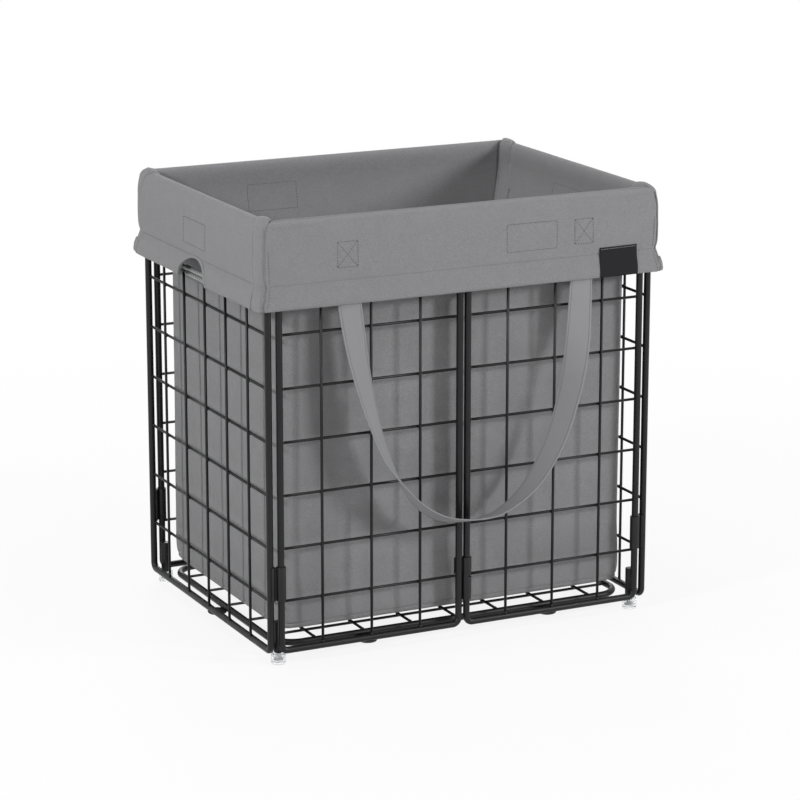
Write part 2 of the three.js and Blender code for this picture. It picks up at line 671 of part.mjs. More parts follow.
// Sewn ends of the straps, flat behind the cuff
const strapEnd = new THREE.BoxGeometry(STRAP_WIDTH, STRAP_THICKNESS, STRAP_TAB);
strapEnd.translate(0, 0, HEM_Z + STRAP_TAB / 2);
for (const [name, sx, sy] of HALVES) {
  const ends = [strapShares[0][0], strapShares[strapShares.length - 1][0]];
  const across = -sy * ends[sx * sy < 0 ? 1 : 0] * STRAP_SPAN / 2;
  const y = -sy * (FRONT_Y - STRAP_STAND);
  addPiece(`${name}_strap_end`, strapEnd, MATERIALS.webbing, [across, y, 0]);
}

// Bare label sewn on the front of the hem, leaning as the cloth does from the hem to its top
const labelFoot = new THREE.Vector2(HEM_STAND, HEM_Z);
const labelSlope = (STITCH_STAND - CUFF_STAND) / (STITCH_DROP - RIM_TURN_DROP);
const labelOver = LABEL_HEIGHT - (CUFF_DROP - STITCH_DROP);
const labelHead = STITCH_STAND - labelSlope * labelOver;
const label = new THREE.BoxGeometry(LABEL_WIDTH, LABEL_THICKNESS, LABEL_HEIGHT);
label.translate(0, -(LABEL_THICKNESS / 2 + FIT), LABEL_HEIGHT / 2);
label.rotateX(-Math.atan2(labelFoot.x - labelHead, LABEL_HEIGHT));
label.translate(CAGE_WIDTH / 2 - LABEL_INSET, FRONT_Y - labelFoot.x, labelFoot.y);
addPiece('label', label, MATERIALS.label);

export default hamper;
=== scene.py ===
# Folding laundry hamper: a black wire cage on four clear feet with a grey fabric liner over its rim.
# Sizes are in millimetres and become metres where a mesh is made. The front faces -Y, and z = 0 is the floor.
import math

import bmesh
import bpy
import numpy as np
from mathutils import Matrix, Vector


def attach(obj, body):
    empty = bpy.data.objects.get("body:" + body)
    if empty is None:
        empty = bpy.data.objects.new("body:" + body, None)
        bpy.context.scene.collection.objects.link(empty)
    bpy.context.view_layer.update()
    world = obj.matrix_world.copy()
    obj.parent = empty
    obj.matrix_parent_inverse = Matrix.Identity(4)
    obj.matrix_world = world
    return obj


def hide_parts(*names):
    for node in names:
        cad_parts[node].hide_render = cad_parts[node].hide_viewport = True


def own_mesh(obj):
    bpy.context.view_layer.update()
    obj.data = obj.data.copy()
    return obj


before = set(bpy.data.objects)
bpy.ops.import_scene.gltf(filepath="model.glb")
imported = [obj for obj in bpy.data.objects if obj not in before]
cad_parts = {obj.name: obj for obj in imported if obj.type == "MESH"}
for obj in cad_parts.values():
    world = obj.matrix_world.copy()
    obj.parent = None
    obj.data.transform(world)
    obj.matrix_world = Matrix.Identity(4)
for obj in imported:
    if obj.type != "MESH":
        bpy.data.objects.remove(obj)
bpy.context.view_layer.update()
METRES = 0.001
scene = bpy.context.scene

# Studio, in metres: a camera at the photograph's angle, a pale floor, and lamps on all sides and above.
# The floor and the world show as white to the camera, and the floor keeps a soft shadow.
CAMERA_PLACE = (-1.6408, -3.3698, 1.2119)
CAMERA_YAW = math.radians(26.07)
CAMERA_PITCH = math.radians(14.355)
CAMERA_LENS = 140.13
SENSOR = 36.0
CAMERA_FAR = 60
AMBIENT = 0.24
LAMP_AIM = Vector((0, 0, 0.28))
LAMPS = (
    ("key", (2.5, -2.6, 1.55), 0.8, 71),
    ("left", (-3.3, -1.0, 2.0), 0.4, 60),
    ("top", (-0.4, 0.3, 3.4), 1.4, 26),
    ("front", (-1.2, -3.6, 1.6), 1.6, 6),
    ("back", (1.2, 3.4, 1.9), 1.4, 40),
)
FLOOR_HALF = 14.0
FLOOR_MATTE = (0.92, 0.92, 0.92, 1)
FLOOR_WHITE = 0.88
SHADOW_REACH = (0.5, 1.5)
WHITE = (1, 1, 1, 1)


def put(name, data, place, sight):
    """Stands a camera or a lamp at a place, looking along a direction."""
    obj = bpy.data.objects.new(name, data)
    obj.location = place
    obj.rotation_euler = sight.to_track_quat("-Z", "Y").to_euler()
    scene.collection.objects.link(obj)
    return obj


def feed(tree, sockets, inputs):
    """Gives each named socket its value, or links it to the output that feeds it."""
    for key, value in inputs.items():
        if isinstance(value, bpy.types.NodeSocket):
            tree.links.new(value, sockets[key])
        else:
            sockets[key].default_value = value


def node(tree, kind, inputs=None, **settings):
    """A new shader node with its settings and inputs."""
    made = tree.nodes.new(f"ShaderNode{kind}")
    for name, value in settings.items():
        setattr(made, name, value)
    feed(tree, made.inputs, inputs or {})
    return made


def maths(tree, operation, *inputs):
    """The result of one sum on numbers or outputs."""
    return node(tree, "Math", dict(enumerate(inputs)), operation=operation).outputs[0]


def remap(tree, value, old, new=(0, 1)):
    """A value taken from an old range to a new one, whose ends may be outputs."""
    ends = {"From Min": old[0], "From Max": old[1], "To Min": new[0], "To Max": new[1]}
    return node(tree, "MapRange", {"Value": value, **ends}).outputs["Result"]


def own_place(tree):
    """The object's own coordinates."""
    return node(tree, "TexCoord").outputs["Object"]


def mixed_by_sight(tree, lit, seen, share):
    """A lit shader, and a share of a second one where the eye, a reflection or clear stuff looks."""
    rays = node(tree, "LightPath").outputs
    mask = maths(tree, "MAXIMUM", rays["Is Camera Ray"], rays["Is Glossy Ray"])
    mask = maths(tree, "MAXIMUM", mask, rays["Is Transmission Ray"])
    mask = maths(tree, "MULTIPLY", mask, share)
    return node(tree, "MixShader", {0: mask, 1: lit.outputs[0], 2: seen.outputs[0]}).outputs[0]


camera_data = bpy.data.cameras.new("camera")
camera_data.lens = CAMERA_LENS
camera_data.sensor_width = SENSOR
camera_data.clip_end = CAMERA_FAR
level = math.cos(CAMERA_PITCH)
sight = Vector((math.sin(CAMERA_YAW) * level, math.cos(CAMERA_YAW) * level, -math.sin(CAMERA_PITCH)))
scene.camera = put("camera", camera_data, CAMERA_PLACE, sight)
scene.view_settings.view_transform = "Standard"

for name, place, size, watts in LAMPS:
    light = bpy.data.lights.new(name, "AREA")
    light.shape = "DISK"
    light.size = size
    light.energy = watts
    put(name, light, place, LAMP_AIM - Vector(place))

world = bpy.data.worlds.new("studio")
scene.world = world
world.use_nodes = True
tree = world.node_tree
tree.nodes.clear()
dim = node(tree, "Background", {"Color": WHITE, "Strength": AMBIENT})
bright = node(tree, "Background", {"Color": WHITE, "Strength": 1})
node(tree, "OutputWorld", {"Surface": mixed_by_sight(tree, dim, bright, 1)})

floor_mesh = bpy.data.meshes.new("floor")
floor_corners = [(x * FLOOR_HALF, y * FLOOR_HALF, 0) for x, y in ((-1, -1), (1, -1), (1, 1), (-1, 1))]
floor_mesh.from_pydata(floor_corners, [], [(0, 1, 2, 3)])
floor = bpy.data.objects.new("floor", floor_mesh)
scene.collection.objects.link(floor)
paint = bpy.data.materials.new("pale_floor")
paint.use_nodes = True
tree = paint.node_tree
tree.nodes.clear()
matte = node(tree, "BsdfDiffuse", {"Color": FLOOR_MATTE})
glow = node(tree, "Emission", {"Color": WHITE, "Strength": 1})
distance = node(tree, "VectorMath", {0: own_place(tree)}, operation="LENGTH").outputs["Value"]
fade = remap(tree, distance, SHADOW_REACH, (FLOOR_WHITE, 1))
node(tree, "OutputMaterial", {"Surface": mixed_by_sight(tree, matte, glow, fade)})
floor_mesh.materials.append(paint)

# Cage panels: bent steel tube frames with a welded grid of thin wire, powder-coated black.
# Upright wires lie on the outside of the cross wires, and each crossing has a small coated weld.
CAGE_WIDTH = 502.4
CAGE_DEPTH = 374.8
PANEL_HEIGHT = 508.4
FOOT_DROP = 18.0
CORNER_INSET = 12.6
SIDE_INSET = 2.8
HINGE_PITCH = 10.6
FRAME_R = 4.1
WIRE_R = 1.7
LAYER = 1.5
GRID_PITCH = 64.0
FRAME_BEND = 8.0
ROW_COUNT = 7
HALF_WIDTH = (CAGE_WIDTH - 2 * CORNER_INSET - HINGE_PITCH) / 2
SIDE_WIDTH = CAGE_DEPTH - 2 * SIDE_INSET
HALF_MIDDLE = (HINGE_PITCH + HALF_WIDTH) / 2
GRIP_LOW = PANEL_HEIGHT - 99.4
GRIP_SPACING = 6.8
GRIP_LENGTH = 118.0
GRIP_REACH = 3.3
FIT = 0.3
TUBE_SIDES = 20
WIRE_SIDES = 12
BEND_STEPS = 10
WELD_SIDES = 8
WELD_LATITUDE = 0.8
WELD_LENGTH = 2.6
WELD_WIDTH = 2.4
WELD_HEIGHT = 1.9
CROSSING = 1.25
END_WELD = FRAME_R + 0.6
X, Y, Z = np.eye(3)


def grid_faces(rows, columns, closed_rows, closed_columns):
    """Quads of a grid of rows x columns points, numbered row by row, joined round where closed."""
    r = np.arange(rows if closed_rows else rows - 1)
    c = np.arange(columns if closed_columns else columns - 1)
    a, b = np.meshgrid(r, c, indexing="ij")
    a2, b2 = (a + 1) % rows, (b + 1) % columns
    corners = (a * columns + b, a * columns + b2, a2 * columns + b2, a2 * columns + b)
    return np.stack([k.ravel() for k in corners], axis=1)


def tube_faces(rows, sides):
    """Quads round a tube of rows x sides points, and a polygon over each end."""
    ends = [list(range(sides)), list(range((rows - 1) * sides, rows * sides))[::-1]]
    return grid_faces(rows, sides, False, True).tolist() + ends


def part_mesh(name, parts, material):
    """One smooth object from (points in mm, faces) parts, whose faces are lists of point numbers."""
    points, faces, start = [], [], 0
    for xyz, polygons in parts:
        xyz = np.asarray(xyz, float).reshape(-1, 3)
        points.append(xyz)
        faces.extend([tuple(int(i) + start for i in polygon) for polygon in polygons])
        start += len(xyz)
    mesh = bpy.data.meshes.new(name)
    mesh.from_pydata((np.concatenate(points) * METRES).tolist(), [], faces)
    mesh.validate()
    mesh.polygons.foreach_set("use_smooth", np.ones(len(mesh.polygons), bool))
    mesh.materials.append(material)
    mesh.update()
    obj = bpy.data.objects.new(name, mesh)
    scene.collection.objects.link(obj)
    return obj


def unit(vectors):
    """Vectors along the last axis, made one long."""
    return vectors / (np.linalg.norm(vectors, axis=-1, keepdims=True) + 1e-12)


def around(count):
    """Angles at even steps round a full turn."""
    return np.arange(count) * 2 * np.pi / count


def tube(path, radius, sides, normal, closed=False):
    """A circle carried along a flat path: centre + radius (cos a x side + sin a x normal) at each point."""
    path = np.asarray(path, float)
    if closed:
        along = np.roll(path, -1, axis=0) - np.roll(path, 1, axis=0)
    else:
        along = np.gradient(path, axis=0)
    side = unit(np.cross(unit(along), normal))
    a = around(sides)[None, :, None]
    ring = np.cos(a) * side[:, None, :] + np.sin(a) * normal
    faces = grid_faces(len(path), sides, True, True).tolist() if closed else tube_faces(len(path), sides)
    return path[:, None, :] + radius * ring, faces


def rounded_rectangle(half_width, half_height, radius, steps=BEND_STEPS):
    """Points round a rectangle whose corners are quarter circles, as an array of two columns."""
    a = np.linspace(0, np.pi / 2, steps + 1)
    corners = []
    for quarter, (sx, sy) in enumerate(((1, 1), (-1, 1), (-1, -1), (1, -1))):
        angle = a + quarter * np.pi / 2
        corners.append(np.stack([
            sx * (half_width - radius) + radius * np.cos(angle),
            sy * (half_height - radius) + radius * np.sin(angle)], axis=1))
    return np.concatenate(corners)


def weld(place, across, through, size=1.0):
    """A small coated weld: a flattened ball of 8 x 3 points and two poles, its short axis through."""
    a = around(WELD_SIDES)[None, :, None]
    b = np.array([-WELD_LATITUDE, 0.0, WELD_LATITUDE])[:, None, None]
    through = through * size
    ring = np.cos(a) * across * WELD_LENGTH + np.sin(a) * np.cross(across, through) * WELD_WIDTH
    ring = np.cos(b) * ring + np.sin(b) * through * WELD_HEIGHT
    poles = np.array([-through, through]) * WELD_HEIGHT
    points = np.concatenate([ring.reshape(-1, 3), poles]) + np.asarray(place, float)
    faces = grid_faces(3, WELD_SIDES, False, True).tolist()
    low, high = 3 * WELD_SIDES, 3 * WELD_SIDES + 1
    for i in range(WELD_SIDES):
        after = (i + 1) % WELD_SIDES
        faces += [[after, i, low], [2 * WELD_SIDES + i, 2 * WELD_SIDES + after, high]]
    return points, faces


def wire(start, end, normal):
    """A straight grid wire."""
    return tube([start, end], WIRE_R, WIRE_SIDES, normal)


def uprights(span):
    """Places of the wires across a span, one grid pitch apart and centred."""
    count = int(span // GRID_PITCH)
    return [(i - (count - 1) / 2) * GRID_PITCH for i in range(count)]


def panel_parts(width, hand_window):
    """Parts of one panel in its own plane: x across, z up from the bottom rail, outer face to -y."""
    outline = rounded_rectangle(width / 2, PANEL_HEIGHT / 2, FRAME_BEND)
    path = np.stack([outline[:, 0], np.zeros(len(outline)), outline[:, 1] + PANEL_HEIGHT / 2], axis=1)
    parts = [tube(path, FRAME_R, TUBE_SIDES, Y, closed=True)]
    rows = [PANEL_HEIGHT - (ROW_COUNT - row) * GRID_PITCH for row in range(ROW_COUNT)]
    columns = uprights(width)
    edge = columns[-1]
    for x in columns:
        ends = [(0.0, PANEL_HEIGHT)]
        if hand_window and abs(x) < edge:
            stop = GRIP_LOW - GRIP_REACH if abs(x) < GRIP_LENGTH / 2 else GRIP_LOW
            ends = [(0.0, stop), (rows[-1] - WIRE_R, PANEL_HEIGHT)]
        for low, high in ends:
            parts.append(wire((x, -LAYER, low), (x, -LAYER, high), Y))
            parts += [weld((x, 0, z), X, Y, CROSSING) for z in rows if low < z < high]
        parts += [weld((x, -LAYER, z), Z, X) for z in (END_WELD, PANEL_HEIGHT - END_WELD)]
    for z in rows:
        parts.append(wire((-width / 2, LAYER, z), (width / 2, LAYER, z), Y))
        parts += [weld((side * (width / 2 - END_WELD), LAYER, z), X, Z) for side in (-1, 1)]
    if hand_window:
        for z in (GRIP_LOW, GRIP_LOW + GRIP_SPACING):
            parts.append(wire((-edge - WIRE_R, 0, z), (edge + WIRE_R, 0, z), Y))
    return parts


def turned(parts, angle, place):
    """Parts turned about z by an angle and moved."""
    c, s = math.cos(angle), math.sin(angle)
    turn = np.array([[c, s, 0], [-s, c, 0], [0, 0, 1.0]])
    return [(np.reshape(xyz, (-1, 3)) @ turn + np.array(place), faces) for xyz, faces in parts]


def new_material(name):
    """A material, its node tree and the inputs of its Principled shader."""
    material = bpy.data.materials.new(name)
    material.use_nodes = True
    tree = material.node_tree
    return material, tree, tree.nodes["Principled BSDF"].inputs


def new_group(name, inputs, outputs):
    """A node group with number sockets: the tree, what it is given and what it gives."""
    tree = bpy.data.node_groups.new(name, "ShaderNodeTree")
    for way, names in (("INPUT", inputs), ("OUTPUT", outputs)):
        for socket in names:
            tree.interface.new_socket(name=socket, in_out=way, socket_type="NodeSocketFloat")
    return tree, tree.nodes.new("NodeGroupInput").outputs, tree.nodes.new("NodeGroupOutput").inputs


def noise(tree, scale, detail=2, roughness=0.5):
    """A noise over the object's own coordinates."""
    inputs = {"Vector": own_place(tree), "Scale": scale, "Detail": detail, "Roughness": roughness}
    return node(tree, "TexNoise", inputs).outputs["Fac"]


def two_tones(tree, value, dark, light):
    """A colour between two tones by a value that varies over the surface."""
    inputs = {"Factor": value, "A": (*dark, 1), "B": (*light, 1)}
    return node(tree, "Mix", inputs, data_type="RGBA").outputs["Result"]


def bump(tree, height, strength, distance):
    """A normal bent by a height that varies over the surface."""
    inputs = {"Height": height, "Strength": strength, "Distance": distance}
    return node(tree, "Bump", inputs).outputs["Normal"]


def coat_group():
    """Powder coat: a fine orange peel for height, and a slow cloud for roughness and shade."""
    tree, given, taken = new_group("powder_coat", ("Grain", "Low", "High"), ("Height", "Roughness", "Cloud"))
    cloud = noise(tree, 24, 5)
    rough = remap(tree, cloud, (0.35, 0.65), (given["Low"], given["High"]))
    feed(tree, taken, {"Height": noise(tree, given["Grain"]), "Roughness": rough, "Cloud": cloud})
    return tree


powder_coat = coat_group()


def coated(name, dark, light, low, high, grain):
    """Black powder coat with its peel, patchy gloss and faint shade."""
    material, tree, shader = new_material(name)
    coat = node(tree, "Group", node_tree=powder_coat)
    feed(tree, coat.inputs, {"Grain": grain, "Low": low, "High": high})
    feed(tree, shader, {
        "Base Color": two_tones(tree, coat.outputs["Cloud"], dark, light),
        "Roughness": coat.outputs["Roughness"],
        "Specular IOR Level": 0.34,
        "Normal": bump(tree, coat.outputs["Height"], 0.25, 0.0003),
    })
    return material


wire_coat = coated("black_wire_coat", (0.002, 0.002, 0.0022), (0.005, 0.005, 0.0054), 0.36, 0.52, 1400.0)
clip_coat = coated("black_clip_coat", (0.005, 0.005, 0.0055), (0.01, 0.01, 0.011), 0.3, 0.44, 1100.0)


def finish_piece(obj, body, slot, *replaced):
    """Rides the piece on its body and hides the pieces of the part that it replaces. Its slot is not used."""
    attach(obj, body)
    if replaced:
        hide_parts(*replaced)
    return obj


def closed_mesh(name, parts, material):
    """One object from closed parts, with all faces turned outwards."""
    obj = part_mesh(name, parts, material)
    work = bmesh.new()
    work.from_mesh(obj.data)
    bmesh.ops.recalc_face_normals(work, faces=work.faces)
    work.to_mesh(obj.data)
    work.free()
    return obj


CORNERS = (
    ("front_left", -1, -1),
    ("front_right", 1, -1),
    ("back_left", -1, 1),
    ("back_right", 1, 1),
)
SHORT_SIDES = (("left", -1), ("right", 1))
LONG_SIDES = (("front", -1), ("back", 1))
half_parts = panel_parts(HALF_WIDTH, False)
for corner, sx, sy in CORNERS:
    place = (sx * HALF_MIDDLE, sy * CAGE_DEPTH / 2, FOOT_DROP)
    parts = turned(half_parts, math.pi if sy > 0 else 0, place)
    obj = closed_mesh(f"{corner}_wire_panel", parts, wire_coat)
    finish_piece(obj, f"{corner}_half", "wire", f"{corner}_panel")
side_parts = panel_parts(SIDE_WIDTH, True)
for side, sx in SHORT_SIDES:
    parts = turned(side_parts, sx * math.pi / 2, (sx * CAGE_WIDTH / 2, 0, FOOT_DROP))
    obj = closed_mesh(f"{side}_wire_panel", parts, wire_coat)
    finish_piece(obj, f"{side}_side", "wire", f"{side}_panel")

# Grip sleeves: soft plastic tubing with a spiral rib, pushed over the two grip wires of each side panel.
# They are grey with a touch of green; the colour has painted shade in the rib's groove and painted light on
# its top.
GRIP_R = 2.78
GRIP_BORE_R = 1.95
GRIP_EDGE = 0.8
GRIP_SIDES = 24
GRIP_STEPS = 305
RIB = 0.4
RIB_PITCH = 5.8


def quarter_fall(share):
    """How far a quarter circle has fallen at a share of its radius: 1 - root of (1 - share squared)."""
    return 1 - np.sqrt(np.clip(1 - share * share, 0, 1))


def ribbed_sleeve():
    """Radius GRIP_R + RIB cos(2 pi y / pitch + angle): one spiral rib, drawn in at the ends.

    The third thing returned is each point's height on the rib, from 0 in the groove to 1 on its top, which
    the colour uses as painted shade.
    """
    y = np.linspace(-GRIP_LENGTH / 2, GRIP_LENGTH / 2, GRIP_STEPS)[:, None]
    a = around(GRIP_SIDES)
    rib = np.cos(2 * np.pi * y / RIB_PITCH + a)
    near_end = np.clip(1 - (GRIP_LENGTH / 2 - np.abs(y)) / GRIP_EDGE, 0, 1)
    r = GRIP_BORE_R + (GRIP_R + RIB * rib - GRIP_BORE_R) * (1 - quarter_fall(near_end))
    points = np.stack([r * np.cos(a), np.broadcast_to(y, r.shape), r * np.sin(a)], axis=2)
    return points, grid_faces(GRIP_STEPS, GRIP_SIDES, False, True).tolist(), (0.5 + 0.5 * rib).ravel()


grip_vinyl, tree, shader = new_material("grip_vinyl")
# The colour follows the rib attribute: painted shade in the groove and painted light on the rib's top.
groove_shade_mask = node(tree, "Attribute", attribute_name="rib").outputs["Fac"]
feed(tree, shader, {
    "Base Color": two_tones(tree, groove_shade_mask, (0.12, 0.128, 0.125), (0.36, 0.378, 0.37)),
    "Roughness": 0.42,
    "Subsurface Weight": 0.15,
    "Subsurface Radius": (0.003, 0.003, 0.003),
    "Normal": bump(tree, noise(tree, 260, 4), 0.1, 0.0002),
})
sleeve_points, sleeve_faces, rib_groove_shade = ribbed_sleeve()
for side, sx in SHORT_SIDES:
    for level, rise in (("lower", 0), ("upper", GRIP_SPACING)):
        place = (sx * CAGE_WIDTH / 2, 0, FOOT_DROP + GRIP_LOW + rise)
        parts = [(sleeve_points + np.array(place), sleeve_faces)]
        obj = closed_mesh(f"{side}_ribbed_grip_{level}", parts, grip_vinyl)
        # The rib attribute holds each point's height on the rib, which paints shade into the groove.
        obj.data.attributes.new("rib", "FLOAT", "POINT").data.foreach_set("value", rib_groove_shade)
        finish_piece(obj, f"{side}_side", "grip", f"{side}_grip_{level}")

# Corner and hinge clips: strips of sheet steel bent round two posts, coated black.
# Each keeps one post as a hinge pin and hooks on the other one. Arcs are in degrees.
CLIP_WALL = 1.5
CLIP_EDGE = 0.45
CLIP_LENGTH = 41.0
CLIP_LEVELS = (("lower", 0), ("upper", ROW_COUNT - 1))
CLIP_R = FRAME_R + FIT + CLIP_WALL / 2
CLIP_WEB = 3.0
WEB_SHARES = np.array([[0.34], [0.5], [0.66]])
SLEEVE_ARC = (2, 358)
CUP_ARC = (98, 262)
BARREL_ARC = (-20, 340)
NECK_ARC = (95, 200)
HOOK_ARC = (15, -150)
BARREL_DROP = 30.8
BARREL_RISE = 22.2
NECK_HALF = 3.0


def bent_strip(path, low, high, wall=CLIP_WALL):
    """A flat section with rounded corners, wall thick and from low to high, carried along a plan path."""
    along = unit(np.gradient(path, axis=0))
    side = np.stack([along[:, 1], -along[:, 0]], axis=1)
    section = rounded_rectangle(wall / 2, (high - low) / 2, CLIP_EDGE, 3)
    xy = path[:, None, :] + side[:, None, :] * section[None, :, :1]
    z = np.broadcast_to((low + high) / 2 + section[None, :, 1:], (*xy.shape[:2], 1))
    return np.concatenate([xy, z], axis=2), tube_faces(len(path), len(section))


def clip_arc(post, arc, steps=40, base=0.0, sign=1):
    """Points in plan round a post, over an arc that starts from a base angle."""
    a = np.radians(base + sign * np.linspace(*arc, steps + 1))
    return post + CLIP_R * np.stack([np.cos(a), np.sin(a)], axis=1)


def corner_clip(post, hook, low, high):
    """A closed sleeve round the pin post, a half cup on the near side of the hook post, and a web between."""
    base = math.degrees(math.atan2(*(hook - post)[::-1]))
    sleeve = clip_arc(post, SLEEVE_ARC, 64, base)
    cup = clip_arc(hook, CUP_ARC, 32, base)
    web = bent_strip(post + (hook - post) * WEB_SHARES, low, high, CLIP_WEB)
    return [bent_strip(sleeve, low, high), bent_strip(cup, low, high), web]


for level, row in CLIP_LEVELS:
    wire_z = FOOT_DROP + PANEL_HEIGHT - (ROW_COUNT - row) * GRID_PITCH
    under, over = wire_z - WIRE_R - FIT, wire_z + WIRE_R + FIT
    for corner, sx, sy in CORNERS:
        post = np.array([sx * (CAGE_WIDTH / 2 - CORNER_INSET), sy * CAGE_DEPTH / 2])
        hook = np.array([sx * CAGE_WIDTH / 2, sy * (CAGE_DEPTH / 2 - SIDE_INSET)])
        parts = corner_clip(post, hook, over, over + CLIP_LENGTH)
        obj = closed_mesh(f"{corner}_bent_clip_{level}", parts, clip_coat)
        finish_piece(obj, f"{corner.split('_')[1]}_side", "clip", f"{corner}_corner_clip_{level}")
    for side, sy in LONG_SIDES:
        right = np.array([HINGE_PITCH / 2, sy * CAGE_DEPTH / 2])
        left = right * (-1, 1)
        barrel = clip_arc(right, BARREL_ARC, sign=sy)
        parts = [
            bent_strip(barrel, wire_z - BARREL_DROP, under),
            bent_strip(barrel, over, wire_z + BARREL_RISE),
            bent_strip(clip_arc(right, NECK_ARC, sign=sy), wire_z - NECK_HALF, wire_z + NECK_HALF),
            bent_strip(clip_arc(left, HOOK_ARC, sign=sy), over, wire_z + BARREL_RISE),
        ]
        obj = closed_mesh(f"{side}_bent_hinge_{level}", parts, clip_coat)
        finish_piece(obj, f"{side}_hinge", "clip", f"{side}_hinge_clip_{level}")

# Legs: a short tube welded behind each end post, a clear moulded foot, and a plug that holds it on.
# The plug's flared head shows grey through the foot. Profiles are (radius, height) points.
AXIS_R = 0.01
LEG_R = 5.5
LEG_BORE_R = 3.3
LEG_CAP = 3
LEG_LOW = FOOT_DROP - FRAME_R
LEG_TOP = LEG_LOW + 38.0
LEG_STAND = FRAME_R + LEG_R + FIT
LEG = [(AXIS_R, LEG_TOP), (LEG_R, LEG_TOP), (LEG_R, LEG_LOW), (LEG_BORE_R, LEG_LOW),
       (LEG_BORE_R, LEG_TOP - LEG_CAP), (AXIS_R, LEG_TOP - LEG_CAP)]
FOOT = [(AXIS_R, 0), (8.8, 0), (8.8, 13.4), (6.2, 13.4), (6.2, 4), (AXIS_R, 4)]
PLUG = [(AXIS_R, 4.3), (5.9, 4.3), (5.9, 5.9), (3.0, 7.6), (3.0, 33.9), (AXIS_R, 33.9)]
LATHE_SIDES = 48


def lathe(profile, place):
    """A profile of (radius, height) points turned about the upright axis at a place."""
    a = around(LATHE_SIDES)
    x = profile[:, :1] * np.cos(a) + place[0]
    y = profile[:, :1] * np.sin(a) + place[1]
    z = np.broadcast_to(profile[:, 1:], x.shape) + place[2]
    return np.stack([x, y, z], axis=2), tube_faces(len(profile), LATHE_SIDES)


def rounded(profile, radius, steps=3):
    """Rounds each inner corner of a profile by a short curve."""
    profile = np.asarray(profile, float)
    made = [profile[0]]
    for before, at, after in zip(profile, profile[1:], profile[2:]):
        ways = [before - at, after - at]
        lengths = [np.linalg.norm(way) for way in ways]
        cut = min(radius, lengths[0] / 2.2, lengths[1] / 2.2)
        p, q = at + ways[0] / lengths[0] * cut, at + ways[1] / lengths[1] * cut
        for t in np.linspace(0, 1, steps + 1):
            made.append((1 - t) ** 2 * p + 2 * t * (1 - t) * at + t * t * q)
    return np.array(made + [profile[-1]])


foot_clear, tree, shader = new_material("clear_foot")
feed(tree, shader, {
    "Base Color": (0.93, 0.95, 0.96, 1),
    "Roughness": remap(tree, noise(tree, 300), (0, 1), (0.03, 0.16)),
    "Transmission Weight": 0.86,
    "IOR": 1.46,
})
plug_metal, tree, shader = new_material("plug_metal")
brush = noise(tree, 700)
feed(tree, shader, {
    "Base Color": two_tones(tree, brush, (0.36, 0.36, 0.37), (0.6, 0.6, 0.61)),
    "Roughness": 0.35,
    "Metallic": 0.8,
    "Normal": bump(tree, brush, 0.2, 0.0001),
})
LEG_PIECES = (
    ("leg_tube", rounded(LEG, 0.8), wire_coat, "wire", "leg_socket"),
    ("clear_foot", rounded(FOOT, 1.6, 5), foot_clear, "foot", "foot"),
    ("flared_plug", rounded(PLUG, 0.5), plug_metal, "plug", "foot_plug"),
)
for corner, sx, sy in CORNERS:
    place = (sx * (CAGE_WIDTH / 2 - CORNER_INSET), sy * (CAGE_DEPTH / 2 - LEG_STAND), 0)
    for name, profile, material, slot, replaced in LEG_PIECES:
        obj = closed_mesh(f"{corner}_{name}", [lathe(profile, place)], material)
        finish_piece(obj, f"{corner}_half", slot, f"{corner}_{replaced}")

# Base grid: a loose frame of the same tube with wires both ways, which lies on six round rests.
# It tips up about its left tube when the cage is folded.
BASE_INSETS = (18.7, 20.9)
BASE_WIDTH = CAGE_WIDTH - 2 * BASE_INSETS[0]
BASE_DEPTH = CAGE_DEPTH - 2 * BASE_INSETS[1]
BASE_BEND = 30.0
outline = rounded_rectangle(BASE_WIDTH / 2, BASE_DEPTH / 2, BASE_BEND, 16)
path = np.column_stack([outline, np.full(len(outline), FOOT_DROP)])
parts = [tube(path, FRAME_R, TUBE_SIDES, Z, closed=True)]
columns = [0.0] + [x + middle for x in uprights(HALF_WIDTH) for middle in (-HALF_MIDDLE, HALF_MIDDLE)]
rows = uprights(BASE_DEPTH)
for y in rows:
    parts.append(wire((-BASE_WIDTH / 2, y, FOOT_DROP), (BASE_WIDTH / 2, y, FOOT_DROP), Z))
    parts += [weld((sx * (BASE_WIDTH / 2 - END_WELD), y, FOOT_DROP), X, Z) for sx in (-1, 1)]
for x in columns:
    z = FOOT_DROP + 2 * LAYER
    parts.append(wire((x, -BASE_DEPTH / 2, z), (x, BASE_DEPTH / 2, z), Z))
    parts += [weld((x, y, FOOT_DROP + LAYER), X, Z, CROSSING) for y in rows]
    parts += [weld((x, sy * (BASE_DEPTH / 2 - FRAME_R), z), Y, Z) for sy in (-1, 1)]
finish_piece(closed_mesh("base_wire_grid", parts, wire_coat), "base", "wire", "base_grid")

# Rests: domed rubber discs under the bottom rails, one on each panel.
# They reach in past the rails and carry the base grid's tube. Heights are from the disc's flat top.
REST = [(AXIS_R, -3.6), (8.6, -3.6), (11.2, -2.8), (12, -1.2), (12, 0), (AXIS_R, 0)]
rest_rubber, tree, shader = new_material("rest_rubber")
grit = noise(tree, 1500)
feed(tree, shader, {
    "Base Color": two_tones(tree, grit, (0.009, 0.009, 0.01), (0.024, 0.024, 0.026)),
    "Roughness": 0.7,
    "Normal": bump(tree, grit, 0.4, 0.0002),
})
rests = [(c, f"{c}_half", sx * HALF_MIDDLE, sy * (CAGE_DEPTH - BASE_INSETS[1]) / 2) for c, sx, sy in CORNERS]
rests += [(s, f"{s}_side", sx * (CAGE_WIDTH - BASE_INSETS[0]) / 2, 0) for s, sx in SHORT_SIDES]
for name, body, x, y in rests:
    disc = lathe(rounded(REST, 0.6), (x, y, FOOT_DROP - FRAME_R - FIT))
    finish_piece(closed_mesh(f"{name}_domed_rest", [disc], rest_rubber), body, "rest", f"{name}_rest")

